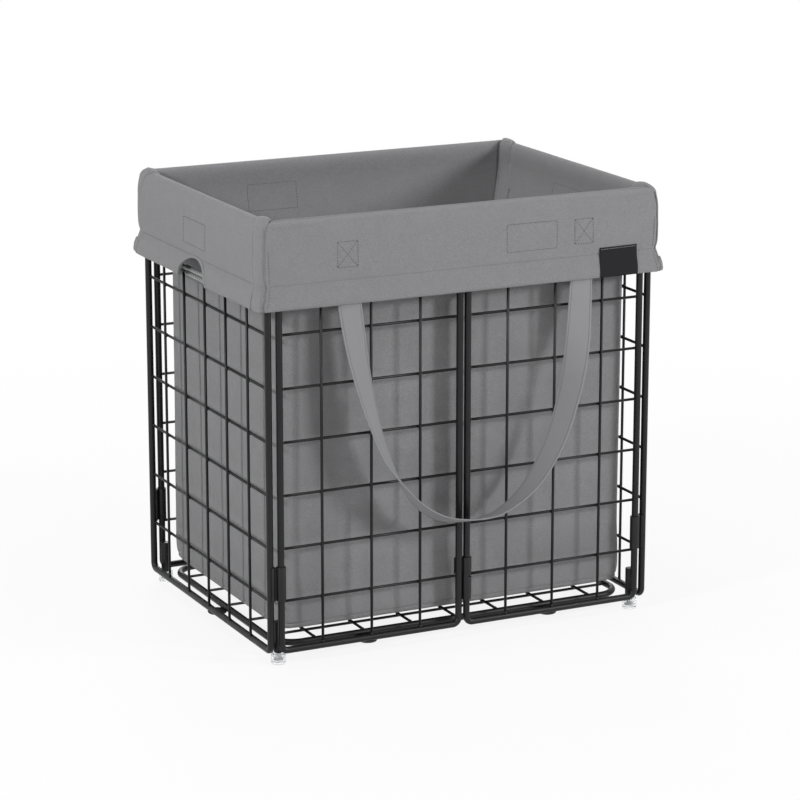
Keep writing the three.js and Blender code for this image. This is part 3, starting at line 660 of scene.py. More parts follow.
# Liner cuff: the top of the fabric liner, turned down over the rails and folded into a wide hem.
# Each side is one flat panel of smooth grey cloth whose ends roll into the corner seams. A stand is how far
# the cloth lies outside the cage's plane there, and u runs along a side from its middle.
RAIL_TOP = FOOT_DROP + PANEL_HEIGHT
HEM_Z = RAIL_TOP - 97.4
STITCH_Z = 458.0
TURN_Z = 500.0
LIFT_TOP = 498.0
LINING_Z = 425.0
LEFT_LINING_Z = 490.0
CLOTH = 0.8
SEAM_DIP = 2.4
SEAM_REACH = 3.0
SEAM_COLUMNS = np.array([0, 0.12, 0.4, 0.9, 1.6, 2.3, 3.0, 4.2])
SEAM_CLEAR = 6.0
HEM_ROLL = 2.6
RAIL_CLEARANCE = 5.4
BAG_TOP = 508.0
BAG_DRAW_IN = 78.0
BAG_TOP_INSET = 7.3
BAG_INSETS = (20.0, 18.0)
BAG_CLOTH = 1.4
LINING_GAP = 1.1
LINING_FADE = 14.0
INNER_STAND = -(BAG_TOP_INSET + BAG_CLOTH + LINING_GAP)
LONG_HANG = (BAG_INSETS[1], 40.0)
SHORT_HANG = (BAG_INSETS[0], 0.0)
BAG_SWAY = (1.6, 95.0)
BAG_FADES = (90, 46, 60)
STAND_HEIGHTS = [429, 431, 436, 444, 452, 456, 458, 460, 465, 473, 486, 500]
SHORT_STANDS = [17.4, 18.1, 18.2, 16.9, 13.9, 12.4, 11.7, 12.2, 13.0, 13.3, 13.4, 12.8]
LONG_STANDS = [11.0, 11.6, 11.8, 10.8, 9.2, 8.6, 8.2, 8.6, 9.0, 9.2, 9.3, 8.8]
LONG_END_STANDS = [9.8, 10.4, 10.6, 9.4, 7.4, 6.4, 6.1, 6.3, 6.6, 6.8, 6.8, 6.6]
LONG_END = (185, 55)
RIM_SHARES = [1, 0.985, 0.915, 0.77, 0.54, 0.32, 0.14, 0.035, 0.005, 0]
RIM_HEIGHTS = [500, 510, 519.5, 527.5, 532, 532.4, 529.5, 523, 514, 505]
END_HEIGHTS = [429, 436, 444, 452, 458, 464, 480, 500]
LONG_ENDS = [261.0, 262.0, 259.4, 257.0, 255.6, 257.2, 258.2, 258.0]
SHORT_ENDS = [177.4, 178.0, 176.4, 175.0, 174.2, 173.8, 173.2, 172.8]
LONG_INNER = 237.5
SHORT_INNER = 153.0


def smooth_step(t):
    """From 0 to 1 along t squared x (3 - 2 t), with t kept between 0 and 1."""
    t = np.clip(t, 0, 1)
    return t * t * (3 - 2 * t)


def eased(x, xs, ys):
    """A smooth curve through control points: cubic Hermite pieces with averaged slopes."""
    xs, ys, x = np.asarray(xs, float), np.asarray(ys, float), np.asarray(x, float)
    slope = np.gradient(ys, xs)
    i = np.clip(np.searchsorted(xs, x) - 1, 0, len(xs) - 2)
    h = xs[i + 1] - xs[i]
    t = np.clip((x - xs[i]) / h, 0, 1)
    return ((2 * t ** 3 - 3 * t ** 2 + 1) * ys[i] + (t ** 3 - 2 * t ** 2 + t) * h * slope[i]
            + (-2 * t ** 3 + 3 * t ** 2) * ys[i + 1] + (t ** 3 - t ** 2) * h * slope[i + 1])


def bag_inset(z, deepest):
    """How far the bag's wall lies inside the cage: drawn in along a smooth step below its top."""
    return BAG_TOP_INSET + (deepest - BAG_TOP_INSET) * smooth_step((BAG_TOP - z) / BAG_DRAW_IN)


def bag_fold(along, z):
    """How far the hanging cloth bellies in: three crossing sine waves, fading out at top and bottom."""
    top, bottom, rise = BAG_FADES
    fold = (1 + np.sin(along / 21.0 + BAG_SWAY[0] * np.sin(z / BAG_SWAY[1]) + z / 210.0)) * 0.45
    fold = fold + (1 + np.sin(along / 43.0 - z / 120.0 + 0.8)) * 0.5
    fold = fold + (1 + np.sin(z / 38.0 + along / 90.0)) * 0.2
    return fold * np.clip((BAG_TOP - z) / top, 0, 1) * np.clip((z - bottom) / rise, 0, 1)


def wave(u, z, amplitude):
    """Slow unevenness of hanging cloth: three crossing sine waves."""
    return amplitude * (np.sin(u / 31 + z / 47) + 0.6 * np.sin(u / 17 - z / 29 + 1.3)
                        + 0.4 * np.sin(u / 67 + 2.1 + z / 90)) / 2


def short_stand(u, z):
    """The stand of the cuff's face on a short side."""
    return eased(z, STAND_HEIGHTS, SHORT_STANDS) + wave(u, z, 0.5)


def long_stand(u, z):
    """The stand of the cuff's face on a long side, drawn in towards the corners."""
    middle = eased(z, STAND_HEIGHTS, LONG_STANDS)
    end = smooth_step((np.abs(u) - LONG_END[0]) / LONG_END[1])
    return middle + (eased(z, STAND_HEIGHTS, LONG_END_STANDS) - middle) * end + wave(u, z, 0.35)


def section_table():
    """The cuff's section from inside the hem to the end of the lining: height, hem offset, rim share."""
    rows = [(447, -HEM_ROLL, -1), (440, -HEM_ROLL, -1), (433, -HEM_ROLL, -1), (430.2, -HEM_ROLL + 0.3, -1),
            (429, -HEM_ROLL / 2, -1), (429.6, -0.4, -1)]
    outer = np.concatenate([np.linspace(431, 456, 11), [457.2, 458, 458.8], np.linspace(460.5, 498, 14)])
    rows += [(z, 0, -1) for z in outer]
    t = np.linspace(0, len(RIM_SHARES) - 1, 37)
    knots = np.arange(len(RIM_SHARES))
    rows += [(z, 0, share) for z, share in zip(eased(t, knots, RIM_HEIGHTS), eased(t, knots, RIM_SHARES))]
    rows += [(z, 0, 0) for z in np.linspace(497, LINING_Z, 13)]
    return np.array(rows)


SECTION = section_table()
SECTION_Z, HEM_OFFSET, RIM_SHARE = (SECTION[:, column:column + 1] for column in range(3))
RIM_TOP_ROW = int(np.argmax(SECTION_Z))
ROW_NUMBERS = np.arange(len(SECTION))[:, None]
SKIRT_ROW = 14


def lining_stand(u, z, hang):
    """The lining lies just inside the bag's wall and runs into it at its lower end."""
    deepest, shift = hang
    gap = LINING_GAP * np.clip((z - LINING_Z) / LINING_FADE, 0.1, 1)
    return -(bag_inset(z, deepest) + bag_fold(u + shift, z) + BAG_CLOTH + gap)


def section_stand(u, z, stand, hang):
    """Stand of each row of the section at u: the skirt's own, or a share of it over the rim, or the lining's.

    Over the rim it keeps outside a circle round the rail's centre line.
    """
    skirt = stand(u, np.clip(z, HEM_Z, TURN_Z)) + HEM_OFFSET
    rim = INNER_STAND + (stand(u, np.full_like(z, TURN_Z)) - INNER_STAND) * RIM_SHARE
    lining = lining_stand(u, z, hang)
    outer = ROW_NUMBERS <= RIM_TOP_ROW
    clear = np.sqrt(np.clip(RAIL_CLEARANCE ** 2 - (z - RAIL_TOP) ** 2, 0, None))
    rim = np.where(outer, np.maximum(rim, clear), rim)
    inside = (RIM_SHARE == 0) | (~outer & (rim < lining))
    return np.where(RIM_SHARE < 0, skirt, np.where(inside, lining, rim))


def half_length(z, lengths, inner, deepest):
    """Half length of a side: its outer table below the rim, shrinking over it, then drawn in with the bag."""
    below = eased(np.clip(z, END_HEIGHTS[0], END_HEIGHTS[-1]), END_HEIGHTS, lengths)
    over = inner + (lengths[-1] - inner) * np.clip(RIM_SHARE, 0, 1)
    over = over - np.where(RIM_SHARE == 0, bag_inset(z, deepest) - BAG_TOP_INSET, 0)
    return np.where(RIM_SHARE < 0, below, over)


def side_rows(lining_end):
    """The section's heights with the lining ending at a given height, and the two half lengths there."""
    lining = RIM_SHARE == 0
    top = SECTION_Z[lining][0]
    z = np.where(lining, top - (top - SECTION_Z) * (top - lining_end) / (top - LINING_Z), SECTION_Z)
    return (z, half_length(z, LONG_ENDS, LONG_INNER, BAG_INSETS[0]),
            half_length(z, SHORT_ENDS, SHORT_INNER, BAG_INSETS[1]))


# The left side's lining is short, so that the upright base grid clears it when the cage is folded.
ROWS = {-1: side_rows(LEFT_LINING_Z), 1: side_rows(LINING_Z)}


def section_normal(stand, z):
    """Outward normal of each row's curve in the (stand, height) plane."""
    ds, dz = np.gradient(stand, axis=0), np.gradient(z, axis=0)
    length = np.hypot(ds, dz) + 1e-9
    return dz / length, -ds / length


def side_surface(stand, hang, heights, half, centre, lift=None):
    """A cuff side as (u, stand, z) arrays: rows of the section, columns across, ends rolled into the seam."""
    left = SEAM_COLUMNS - half
    centre = np.broadcast_to(centre, (len(half), centre.shape[-1]))
    u = np.concatenate([left, centre, -left[:, ::-1]], axis=1)
    z = np.broadcast_to(heights, u.shape)
    if lift is not None:
        fade = np.clip((LIFT_TOP - z) / (LIFT_TOP - HEM_Z), 0, 1)
        z = np.where(RIM_SHARE < 0, z + lift(u) * fade, z)
    s = section_stand(u, z, stand, hang)
    ns, nz = section_normal(s, z)
    dip = SEAM_DIP * quarter_fall(np.clip(1 - (half - np.abs(u)) / SEAM_REACH, 0, 1))
    return u, s - ns * dip, z - nz * dip


def to_long(u, s, z, sy):
    """Places on a long side from their u, stand and height."""
    return np.stack([u, sy * (CAGE_DEPTH / 2 + s), z], axis=-1)


def to_short(u, s, z, sx):
    """Places on a short side from their u, stand and height."""
    return np.stack([sx * (CAGE_WIDTH / 2 + s), u, z], axis=-1)


def thicken(obj, thickness):
    """Gives a sheet its thickness, inwards from its face."""
    solid = obj.modifiers.new("thickness", "SOLIDIFY")
    solid.thickness = thickness * METRES
    solid.offset = -1


def sheet(name, points, material, row, out, thickness=CLOTH):
    """A cloth surface from a grid of points, its faces turned so that the given row's faces look out."""
    rows, columns = points.shape[:2]
    faces = grid_faces(rows, columns, False, False)
    flat = points.reshape(-1, 3)
    face = faces[row * (columns - 1) + (columns - 1) // 2]
    normal = np.cross(flat[face[2]] - flat[face[0]], flat[face[3]] - flat[face[1]])
    if normal @ np.asarray(out, float) < 0:
        faces = faces[:, ::-1]
    obj = part_mesh(name, [(flat, faces.tolist())], material)
    thicken(obj, thickness)
    return obj


def sine_by(tree, value, speed):
    """The sine of a value times a speed."""
    return maths(tree, "SINE", maths(tree, "MULTIPLY", value, speed))


def cloth_group():
    """Smooth napped cloth: blotches a few millimetres wide, a fine fleck, and a plain weave for height."""
    tree, given, taken = new_group("napped_cloth", ("Fleck", "Thread"), ("Mottle", "Height"))
    fleck = noise(tree, given["Fleck"], 3, 0.7)
    both = node(tree, "Mix", {"Factor": 0.88, "A": noise(tree, 60, 3), "B": fleck}).outputs["Result"]
    place = node(tree, "SeparateXYZ", {"Vector": own_place(tree)}).outputs
    level = sine_by(tree, maths(tree, "ADD", place["X"], place["Y"]), given["Thread"])
    weave = maths(tree, "MULTIPLY", level, sine_by(tree, place["Z"], given["Thread"]))
    height = maths(tree, "MULTIPLY_ADD", weave, 0.35, fleck)
    feed(tree, taken, {"Mottle": remap(tree, both, (0.36, 0.64)), "Height": height})
    return tree


napped_cloth = cloth_group()


def cloth(name, dark, light, fleck, thread):
    """Matt grey cloth with its mottle, nap and weave."""
    material, tree, shader = new_material(name)
    grain = node(tree, "Group", node_tree=napped_cloth)
    feed(tree, grain.inputs, {"Fleck": fleck, "Thread": thread})
    feed(tree, shader, {
        "Base Color": two_tones(tree, grain.outputs["Mottle"], dark, light),
        "Roughness": 0.93,
        "Specular IOR Level": 0.2,
        "Sheen Weight": 0.12,
        "Sheen Roughness": 0.6,
        "Normal": bump(tree, grain.outputs["Height"], 0.7, 0.0004),
    })
    return material


liner_cloth = cloth("liner_cloth", (0.212, 0.212, 0.218), (0.272, 0.272, 0.279), 700.0, 3600.0)

# How the liner would bunch as the cage folds: the share of its width that is left, and where it doesn't move.
# They are for long sides bunched between the side panels, and right sides moved with theirs by the fold's
# shift; bunch doesn't use them.
FOLD_SHIFT = 385.6
LONG_BUNCH = (0.1492, -226.3)
BAG_BUNCH = (0.174, -222.2)
MOVED_KEEP = 0.98
RIGHT_BUNCH = (MOVED_KEEP, ((CAGE_WIDTH / 2 - FOLD_SHIFT) - MOVED_KEEP * CAGE_WIDTH / 2) / (1 - MOVED_KEEP))
BUNCHES = {"long": LONG_BUNCH, "right": RIGHT_BUNCH}


def bunch(obj, keep, anchor):
    """Gives a liner piece its own copy of its mesh; keep and anchor are not used."""
    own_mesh(obj)


def on_liner(obj, group, slot, *replaced):
    """Rides a piece on the liner by its group: long, left or right. Long and right ones get their own mesh,
    and left ones stay.
    """
    finish_piece(obj, "liner", slot, *replaced)
    if group in BUNCHES:
        bunch(obj, *BUNCHES[group])


CUTOUT_HALF = 41.0
CUTOUT_RISE = 27.0
CUTOUT_COLUMNS = np.concatenate([[CUTOUT_HALF + 0.3], np.linspace(CUTOUT_HALF + 2.5, 145, 18)])


def arch(u):
    """Height of the hand cutout above the hem: half an ellipse."""
    return CUTOUT_RISE * np.sqrt(np.clip(1 - (u / CUTOUT_HALF) ** 2, 0, 1))


in_cutout = CUTOUT_HALF * np.sin(np.radians(np.linspace(-90, 90, 33)))
short_columns = np.concatenate([-CUTOUT_COLUMNS[::-1], in_cutout, CUTOUT_COLUMNS])
for side, sy in LONG_SIDES:
    heights, half, _ = ROWS[1]
    surface = side_surface(long_stand, LONG_HANG, heights, half, np.linspace(-1, 1, 61) * (half - SEAM_CLEAR))
    obj = sheet(f"liner_cuff_{side}", to_long(*surface, sy), liner_cloth, SKIRT_ROW, sy * Y)
    on_liner(obj, "long", "fabric", "liner_cuff")
for side, sx in SHORT_SIDES:
    heights, _, half = ROWS[sx]
    surface = side_surface(short_stand, SHORT_HANG, heights, half, short_columns, arch)
    obj = sheet(f"liner_cuff_{side}", to_short(*surface, sx), liner_cloth, SKIRT_ROW, sx * X)
    on_liner(obj, side, "fabric", "liner_cuff")

# Corner strips: a padded strip of the same cloth joins two sides at each corner, from hem to lining.
# It stands a little over the rim, and its seam allowances lie under the sides next to it.
STRIP_GAP = 1.7
STRIP_BULGE = 1.5
STRIP_RISE = 2.6
STRIP_ROLL = 2.0
STRIP_CLOTH = 0.6
ROLL_START = 0.86
RISE_ROWS = 9.0
INNER_ROWS = 6.0
PEEL_TOP = RAIL_TOP + 3
PEEL_DEPTH = 60
PEEL_GAP = (0.4, 4.6)
CREASE_DEPTH = 1.2
ALLOWANCE = 32.0
INNER_ALLOWANCE = 8.0
UNDER_DEPTH = 1.0


def corner_strip(sx, sy):
    """Rows of the section, columns across: allowance, bulged strip, allowance, between the sides' ends."""
    z, long_u, short_u = ROWS[sx]
    s_short = section_stand(sy * short_u, z, short_stand, SHORT_HANG)
    s_long = section_stand(sx * long_u, z, long_stand, LONG_HANG)
    n_short = section_normal(s_short, z)
    n_long = section_normal(s_long, z)

    def on_short(along, depth):
        return to_short(short_u - along, s_short - n_short[0] * depth, z - n_short[1] * depth, 1)

    def on_long(along, depth):
        return to_long(long_u - along, s_long - n_long[0] * depth, z - n_long[1] * depth, 1)

    over = np.exp(-((ROW_NUMBERS - RIM_TOP_ROW) / RISE_ROWS) ** 2)
    inside = np.clip((ROW_NUMBERS - RIM_TOP_ROW) / INNER_ROWS, 0, 1)
    peel = np.clip((PEEL_TOP - z) / PEEL_DEPTH, 0, 1) * (ROW_NUMBERS > RIM_TOP_ROW)
    gap = PEEL_GAP[0] + PEEL_GAP[1] * peel
    t = np.linspace(0, 1, 15)
    first = on_short(-gap, UNDER_DEPTH + 0.2 * inside)
    across = on_long(-STRIP_GAP, UNDER_DEPTH / 2) - first
    out = unit(np.cross(across, Z))
    roll = STRIP_ROLL * quarter_fall(np.clip((t - ROLL_START) / (1 - ROLL_START), 0, 1))
    lift = STRIP_BULGE * np.sin(np.pi * t) ** 0.7 + STRIP_RISE * over - roll
    upward = n_short[1][..., None] * Z
    run = first + across * t[:, None] + lift[..., None] * (out * n_short[0][..., None] + upward)
    under = np.where(RIM_SHARE < 0, ALLOWANCE, INNER_ALLOWANCE)
    columns = [on_short(along, UNDER_DEPTH) for along in (6.0, 0.6)]
    columns += [on_short(-gap / 2, UNDER_DEPTH + CREASE_DEPTH * peel), run]
    columns += [on_long(along, UNDER_DEPTH) for along in (-STRIP_GAP + 0.6, 3.0, 0.5 * under, under)]
    return np.concatenate(columns, axis=1) * np.array([sx, sy, 1.0])


for corner, sx, sy in CORNERS:
    obj = sheet(f"{corner}_corner_strip", corner_strip(sx, sy), liner_cloth, SKIRT_ROW, sx * X, STRIP_CLOTH)
    on_liner(obj, corner.split("_")[1], "fabric", f"{corner}_corner_band")

# Cutout bindings: a narrow folded tape of the liner's cloth, sewn round each hand cutout's edge.
# It laps a little over the edge and stands just proud of the cuff.
BINDING_WIDTH = 4.4
BINDING_ROUND = 1.0
BINDING_OUT = 2.0
BINDING_SINK = 1.2


def binding(sx):
    """A rounded section carried round half an ellipse and laid on the cuff's own surface."""
    angle = np.radians(np.linspace(-90, 90, 61))[:, None]
    away = unit(np.hstack([CUTOUT_RISE * np.sin(angle), CUTOUT_HALF * np.cos(angle)]))
    section = rounded_rectangle(BINDING_WIDTH / 2, BINDING_WIDTH / 2, BINDING_ROUND, 4)
    out = section[:, 0] + BINDING_OUT
    y = CUTOUT_HALF * np.sin(angle) + away[:, :1] * out
    z = HEM_Z + CUTOUT_RISE * np.cos(angle) + away[:, 1:] * out
    stand = short_stand(y, np.clip(z, HEM_Z, TURN_Z)) + section[:, 1] - BINDING_SINK
    return to_short(y, stand, z, sx), tube_faces(len(angle), len(section))


for side, sx in SHORT_SIDES:
    obj = closed_mesh(f"{side}_binding_tape", [binding(sx)], liner_cloth)
    on_liner(obj, side, "fabric", f"{side}_cutout_binding")

# Bag: one open-topped sewn bag of the same cloth as the cuff, hung inside the grid.
# It bellies in gentle folds, and its walls and floor meet in a creased seam just above the base.
BAG_BOTTOM = 36.0
BAG_ROLL_TOP = 41.2
BAG_ROLLS = (3.2, 30.0)
BAG_ROLL_IN = 7.0
BAG_ROLL_FORM = 0.75
BAG_CORNERS = (5.0, 13.0)
BAG_LEAST_CORNER = 2.5
BAG_CORNER_REACH = 26.0
BAG_SEAM_Z = 42.2
BAG_CREASE = 1.1
BAG_SAG = (0.9, 40)
FLOOR_STEP = 17.0
FLOOR_RINGS = 8
LONG_STEPS = 72
SHORT_STEPS = 56
ARC_STEPS = 9


def bag_ring(half_x, half_y, radius):
    """A rounded rectangle with evenly spread points on its sides, as points and outward normals in plan."""
    a = np.linspace(0, np.pi / 2, ARC_STEPS + 1)
    points, normals = [], []
    turns = ((1, 1), (-1, 1), (-1, -1), (1, -1))
    reach = np.array([half_x - radius, half_y - radius])
    for quarter, turn in enumerate(turns):
        angle = a + quarter * np.pi / 2
        n = np.stack([np.cos(angle), np.sin(angle)], axis=1)
        steps = LONG_STEPS if quarter % 2 == 0 else SHORT_STEPS
        t = np.linspace(0, 1, steps + 1)[1:-1, None]
        start = turn * reach + radius * n[-1]
        target = turns[(quarter + 1) % 4] * reach + radius * n[-1]
        points += [turn * reach + radius * n, start + (target - start) * t]
        normals += [n, np.repeat(n[-1:], steps - 1, axis=0)]
    return np.concatenate(points), np.concatenate(normals)


def bag_surface():
    """Rings from the top down the walls, round the roll of the bottom edge and over the floor.

    The bottom edge is tight along the sides and rises in a wide soft curve at the corners.
    """
    walls = [np.linspace(BAG_TOP, 72, 50), np.linspace(68, 48, 9), np.linspace(46.8, BAG_ROLL_TOP, 9)]
    levels = [(z, 0.0, 0.0) for z in np.concatenate(walls)]
    levels += [(BAG_ROLL_TOP, roll, 0.0) for roll in np.radians(np.linspace(12, 90, 10))]
    levels += [(BAG_ROLL_TOP, np.pi / 2, ring * FLOOR_STEP) for ring in range(1, FLOOR_RINGS + 1)]
    rings = []
    for height, roll, inward in levels:
        share = np.clip((BAG_TOP - height) / BAG_DRAW_IN, 0, 1)
        radius = BAG_CORNERS[0] + (BAG_CORNERS[1] - BAG_CORNERS[0]) * share * (2 - share) - inward * 0.4
        half = [size / 2 - bag_inset(height, deepest) - inward
                for size, deepest in zip((CAGE_WIDTH, CAGE_DEPTH), BAG_INSETS)]
        xy, normal = bag_ring(*half, max(radius, BAG_LEAST_CORNER))
        corner = np.exp(-(np.max(half - np.abs(xy), axis=1) / BAG_CORNER_REACH) ** 2)
        curve = BAG_ROLLS[0] + (BAG_ROLLS[1] - BAG_ROLLS[0]) * corner
        low = np.clip((BAG_BOTTOM + curve - height) / curve, 0, 1)
        pull = (BAG_ROLLS[0] + BAG_ROLL_IN * corner) * (1 - np.sqrt(1 - BAG_ROLL_FORM * low ** 2))
        pull = pull + BAG_ROLLS[0] * (1 - math.cos(roll))
        sag = BAG_SAG[0] * (1 - math.exp(-inward / BAG_SAG[1]))
        z = height - (height - BAG_BOTTOM) * math.sin(roll) - sag
        along = np.where(np.abs(normal[:, 0]) > np.abs(normal[:, 1]), xy[:, 1], xy[:, 0] + LONG_HANG[1])
        crease = BAG_CREASE * math.exp(-((z - BAG_SEAM_Z) / BAG_CREASE) ** 2)
        xy = xy - normal * (bag_fold(along, z) + crease + pull)[:, None]
        rings.append(np.column_stack([xy, np.full(len(xy), z)]))
    rows, columns = len(rings), len(rings[0])
    faces = grid_faces(rows, columns, False, True)[:, ::-1].tolist()
    faces.append([(rows - 1) * columns + i for i in range(columns)][::-1])
    return np.stack(rings), faces


bag_cloth = cloth("bag_cloth", (0.216, 0.216, 0.222), (0.276, 0.276, 0.283), 650.0, 3400.0)
bag = part_mesh("liner_cloth_bag", [bag_surface()], bag_cloth)
thicken(bag, BAG_CLOTH)
finish_piece(bag, "liner", "fabric", "liner_bag")
bunch(bag, *BAG_BUNCH)

# Carrying straps: woven webbing whose ends are sewn behind the cuff under crossed boxes of stitches.
# Each loop faces forward at the hem, and its front face turns inwards on the way down; it swings at the hem.
STRAP_HALF = 152.0
STRAP_DROP = 276.0
STRAP_WIDTH = 30.0
STRAP_THICKNESS = 1.8
STRAP_STAND = 7.4
STRAP_TOP = HEM_Z - FIT
SEWN_TOP = 503.0
SEWN_STAND = 5.4
SEWN_LEAN = 12
BAND_EDGE = 0.9
CAP_ANGLES = np.radians([78, 55, 30])
SELVEDGE_LINE = 12.4
SELVEDGE_WIDTH = 0.8
# Shares of STRAP_HALF across, of STRAP_DROP down, and of a quarter turn, from left to right.
COURSE_SHARES = np.array([
    [-1, 0, 0], [-0.97, 0.125, 0.07], [-0.937, 0.25, 0.2], [-0.89, 0.38, 0.34], [-0.83, 0.51, 0.48],
    [-0.75, 0.64, 0.6], [-0.655, 0.745, 0.78], [-0.54, 0.845, 1], [-0.4, 0.925, 1.15], [-0.22, 0.98, 1.22],
    [0, 1, 1.2], [0.2, 0.99, 1.14], [0.38, 0.942, 1.06], [0.53, 0.872, 0.94], [0.65, 0.785, 0.83],
    [0.755, 0.68, 0.74], [0.835, 0.56, 0.66], [0.9, 0.435, 0.56], [0.95, 0.3, 0.38], [0.985, 0.17, 0.15],
    [1.01, 0, 0]])


def webbing_band(path, twist):
    """A band with rounded edges and ends carried along a path, turned about it by the twist in radians.

    The third thing returned is each point's place on the flat webbing.
    """
    along = np.gradient(path, axis=0)
    along[0], along[-1] = Z * np.sign(along[0][2]), Z * np.sign(along[-1][2])
    along = unit(along)
    across = unit(np.cross(-Y, along)) * np.cos(twist)[:, None] + Y * np.sin(twist)[:, None]
    across = unit(across)
    normal = np.cross(along, across)
    half, edge = STRAP_THICKNESS / 2, STRAP_WIDTH / 2
    start = [(path[0] - along[0] * half * math.sin(c), 0, math.cos(c)) for c in CAP_ANGLES]
    finish = [(path[-1] + along[-1] * half * math.sin(c), -1, math.cos(c)) for c in CAP_ANGLES[::-1]]
    rows = start + [(point, i, 1.0) for i, point in enumerate(path)] + finish
    rim = np.array([edge - BAND_EDGE, edge - 0.25, edge])
    a = np.concatenate([-rim[::-1], np.linspace(2.2 - edge, edge - 2.2, 11), rim])
    fall = np.clip((np.abs(a) - edge + BAND_EDGE) / BAND_EDGE, 0, 1)
    height = half * np.sqrt(np.clip(1 - fall ** 2, 0.06, 1))
    flat = np.concatenate([a, a[::-1]])
    level = np.concatenate([height, -height[::-1]])
    points = np.stack([point + flat[:, None] * across[i] + scale * level[:, None] * normal[i]
                       for point, i, scale in rows])
    lengths = np.linalg.norm(np.diff(np.stack([row[0] for row in rows]), axis=0), axis=1)
    v = np.concatenate([[0], np.cumsum(lengths)])
    uv = np.stack(np.broadcast_arrays(flat, v[:, None]), axis=2).reshape(-1, 2)
    return points, tube_faces(len(rows), len(flat)), uv


def weave_group():
    """Woven webbing from its flat map: warp ribs crossed by fine picks, with a groove beside each edge."""
    tree, given, taken = new_group("webbing_weave", ("Warp", "Weft"), ("Height",))
    flat = node(tree, "UVMap", uv_map="weave").outputs["UV"]
    place = node(tree, "SeparateXYZ", {"Vector": flat}).outputs
    ribs = sine_by(tree, place["X"], given["Warp"])
    picks = sine_by(tree, place["Y"], given["Weft"])
    cross = maths(tree, "MULTIPLY", ribs, picks)
    away = maths(tree, "SUBTRACT", maths(tree, "ABSOLUTE", place["X"]), SELVEDGE_LINE)
    groove = remap(tree, maths(tree, "ABSOLUTE", away), (0, SELVEDGE_WIDTH), (-0.6, 1))
    height = maths(tree, "MULTIPLY", maths(tree, "MULTIPLY_ADD", cross, 0.5, 0.5), groove)
    feed(tree, taken, {"Height": height})
    return tree


webbing, tree, shader = new_material("grey_webbing")
woven = node(tree, "Group", node_tree=weave_group())
feed(tree, woven.inputs, {"Warp": 3.3, "Weft": 4.2})
feed(tree, shader, {
    # The colour follows the weave's height: painted shade in its hollows and in the groove beside each edge.
    "Base Color": two_tones(tree, woven.outputs["Height"], (0.2, 0.2, 0.205), (0.37, 0.37, 0.378)),
    "Roughness": 0.85,
    "Specular IOR Level": 0.25,
    "Normal": bump(tree, woven.outputs["Height"], 0.6, 0.0004),
})


def webbing_piece(name, path, twist, turn):
    """A length of webbing. Its map named weave holds each vertex's place on the flat webbing, in mm."""
    points, faces, uv = webbing_band(path, twist)
    obj = closed_mesh(name, [(points * turn, faces)], webbing)
    index = np.empty(len(obj.data.loops), dtype=np.int32)
    obj.data.loops.foreach_get("vertex_index", index)
    obj.data.uv_layers.new(name="weave").data.foreach_set("uv", uv[index].ravel())
    return obj


knots = np.arange(len(COURSE_SHARES))
t = np.linspace(0, len(knots) - 1, 193)
share, drop, turn_share = (eased(t, knots, COURSE_SHARES[:, k]) for k in range(3))
twist = np.maximum(turn_share, 0) * np.pi / 2
loop_path = np.stack([share * STRAP_HALF, -(CAGE_DEPTH / 2 + STRAP_STAND + STRAP_WIDTH / 2 * np.sin(twist)),
                      STRAP_TOP - drop * STRAP_DROP], axis=1)
rise = np.linspace(0, SEWN_TOP - STRAP_TOP, 25)
sewn_stand = STRAP_STAND + (SEWN_STAND - STRAP_STAND) * smooth_step(rise / SEWN_LEAN)
for side, sy in LONG_SIDES:
    turn = np.array([-sy, -sy, 1.0])
    obj = webbing_piece(f"{side}_webbing_loop", loop_path, twist, turn)
    finish_piece(obj, f"{side}_carry_loop", "webbing", f"{side}_strap")
    bunch(obj, *LONG_BUNCH)
    for end in (0, -1):
        x = loop_path[end][0]
        path = np.stack([np.full_like(rise, x), -(CAGE_DEPTH / 2 + sewn_stand), STRAP_TOP + rise], axis=1)
        corner = f"{side}_{'left' if x * -sy < 0 else 'right'}"
        obj = webbing_piece(f"{corner}_sewn_end", path, np.zeros(len(path)), turn)
        on_liner(obj, "long", "webbing", f"{corner}_strap_end")

# Label: a bare black woven patch on the front of the hem, near its right end.
# It is sewn along its top, and lies on the cuff but bridges the dip of the hem's stitch line.
LABEL_LEFT, LABEL_RIGHT = 177.0, 229.5
LABEL_LOW, LABEL_HIGH = 429.4, 465.5
LABEL_WALL = 0.5
LABEL_STAND = 0.75
LABEL_BRIDGE = (0.9, 4.5)


def label_stand(u, z):
    """The cuff's own stand and a little more, with a bell curve over the stitch line's dip."""
    over, reach = LABEL_BRIDGE
    return long_stand(u, z) + LABEL_STAND + over * np.exp(-((z - STITCH_Z) / reach) ** 2)


x, z = np.meshgrid(np.linspace(LABEL_LEFT, LABEL_RIGHT, 28), np.linspace(LABEL_HIGH, LABEL_LOW, 34))
label_cloth, tree, shader = new_material("label_weave")
yarn = node(tree, "TexWave", {"Vector": own_place(tree), "Scale": 420, "Distortion": 0.6}).outputs["Fac"]
feed(tree, shader, {
    "Base Color": two_tones(tree, yarn, (0.012, 0.012, 0.014), (0.03, 0.03, 0.033)),
    "Roughness": 0.9,
    "Specular IOR Level": 0.12,
    "Normal": bump(tree, yarn, 0.3, 0.0002),
})
obj = sheet("black_label", to_long(x, label_stand(x, z), z, -1), label_cloth, 10, -Y, LABEL_WALL)
on_liner(obj, "long", "label", "label")

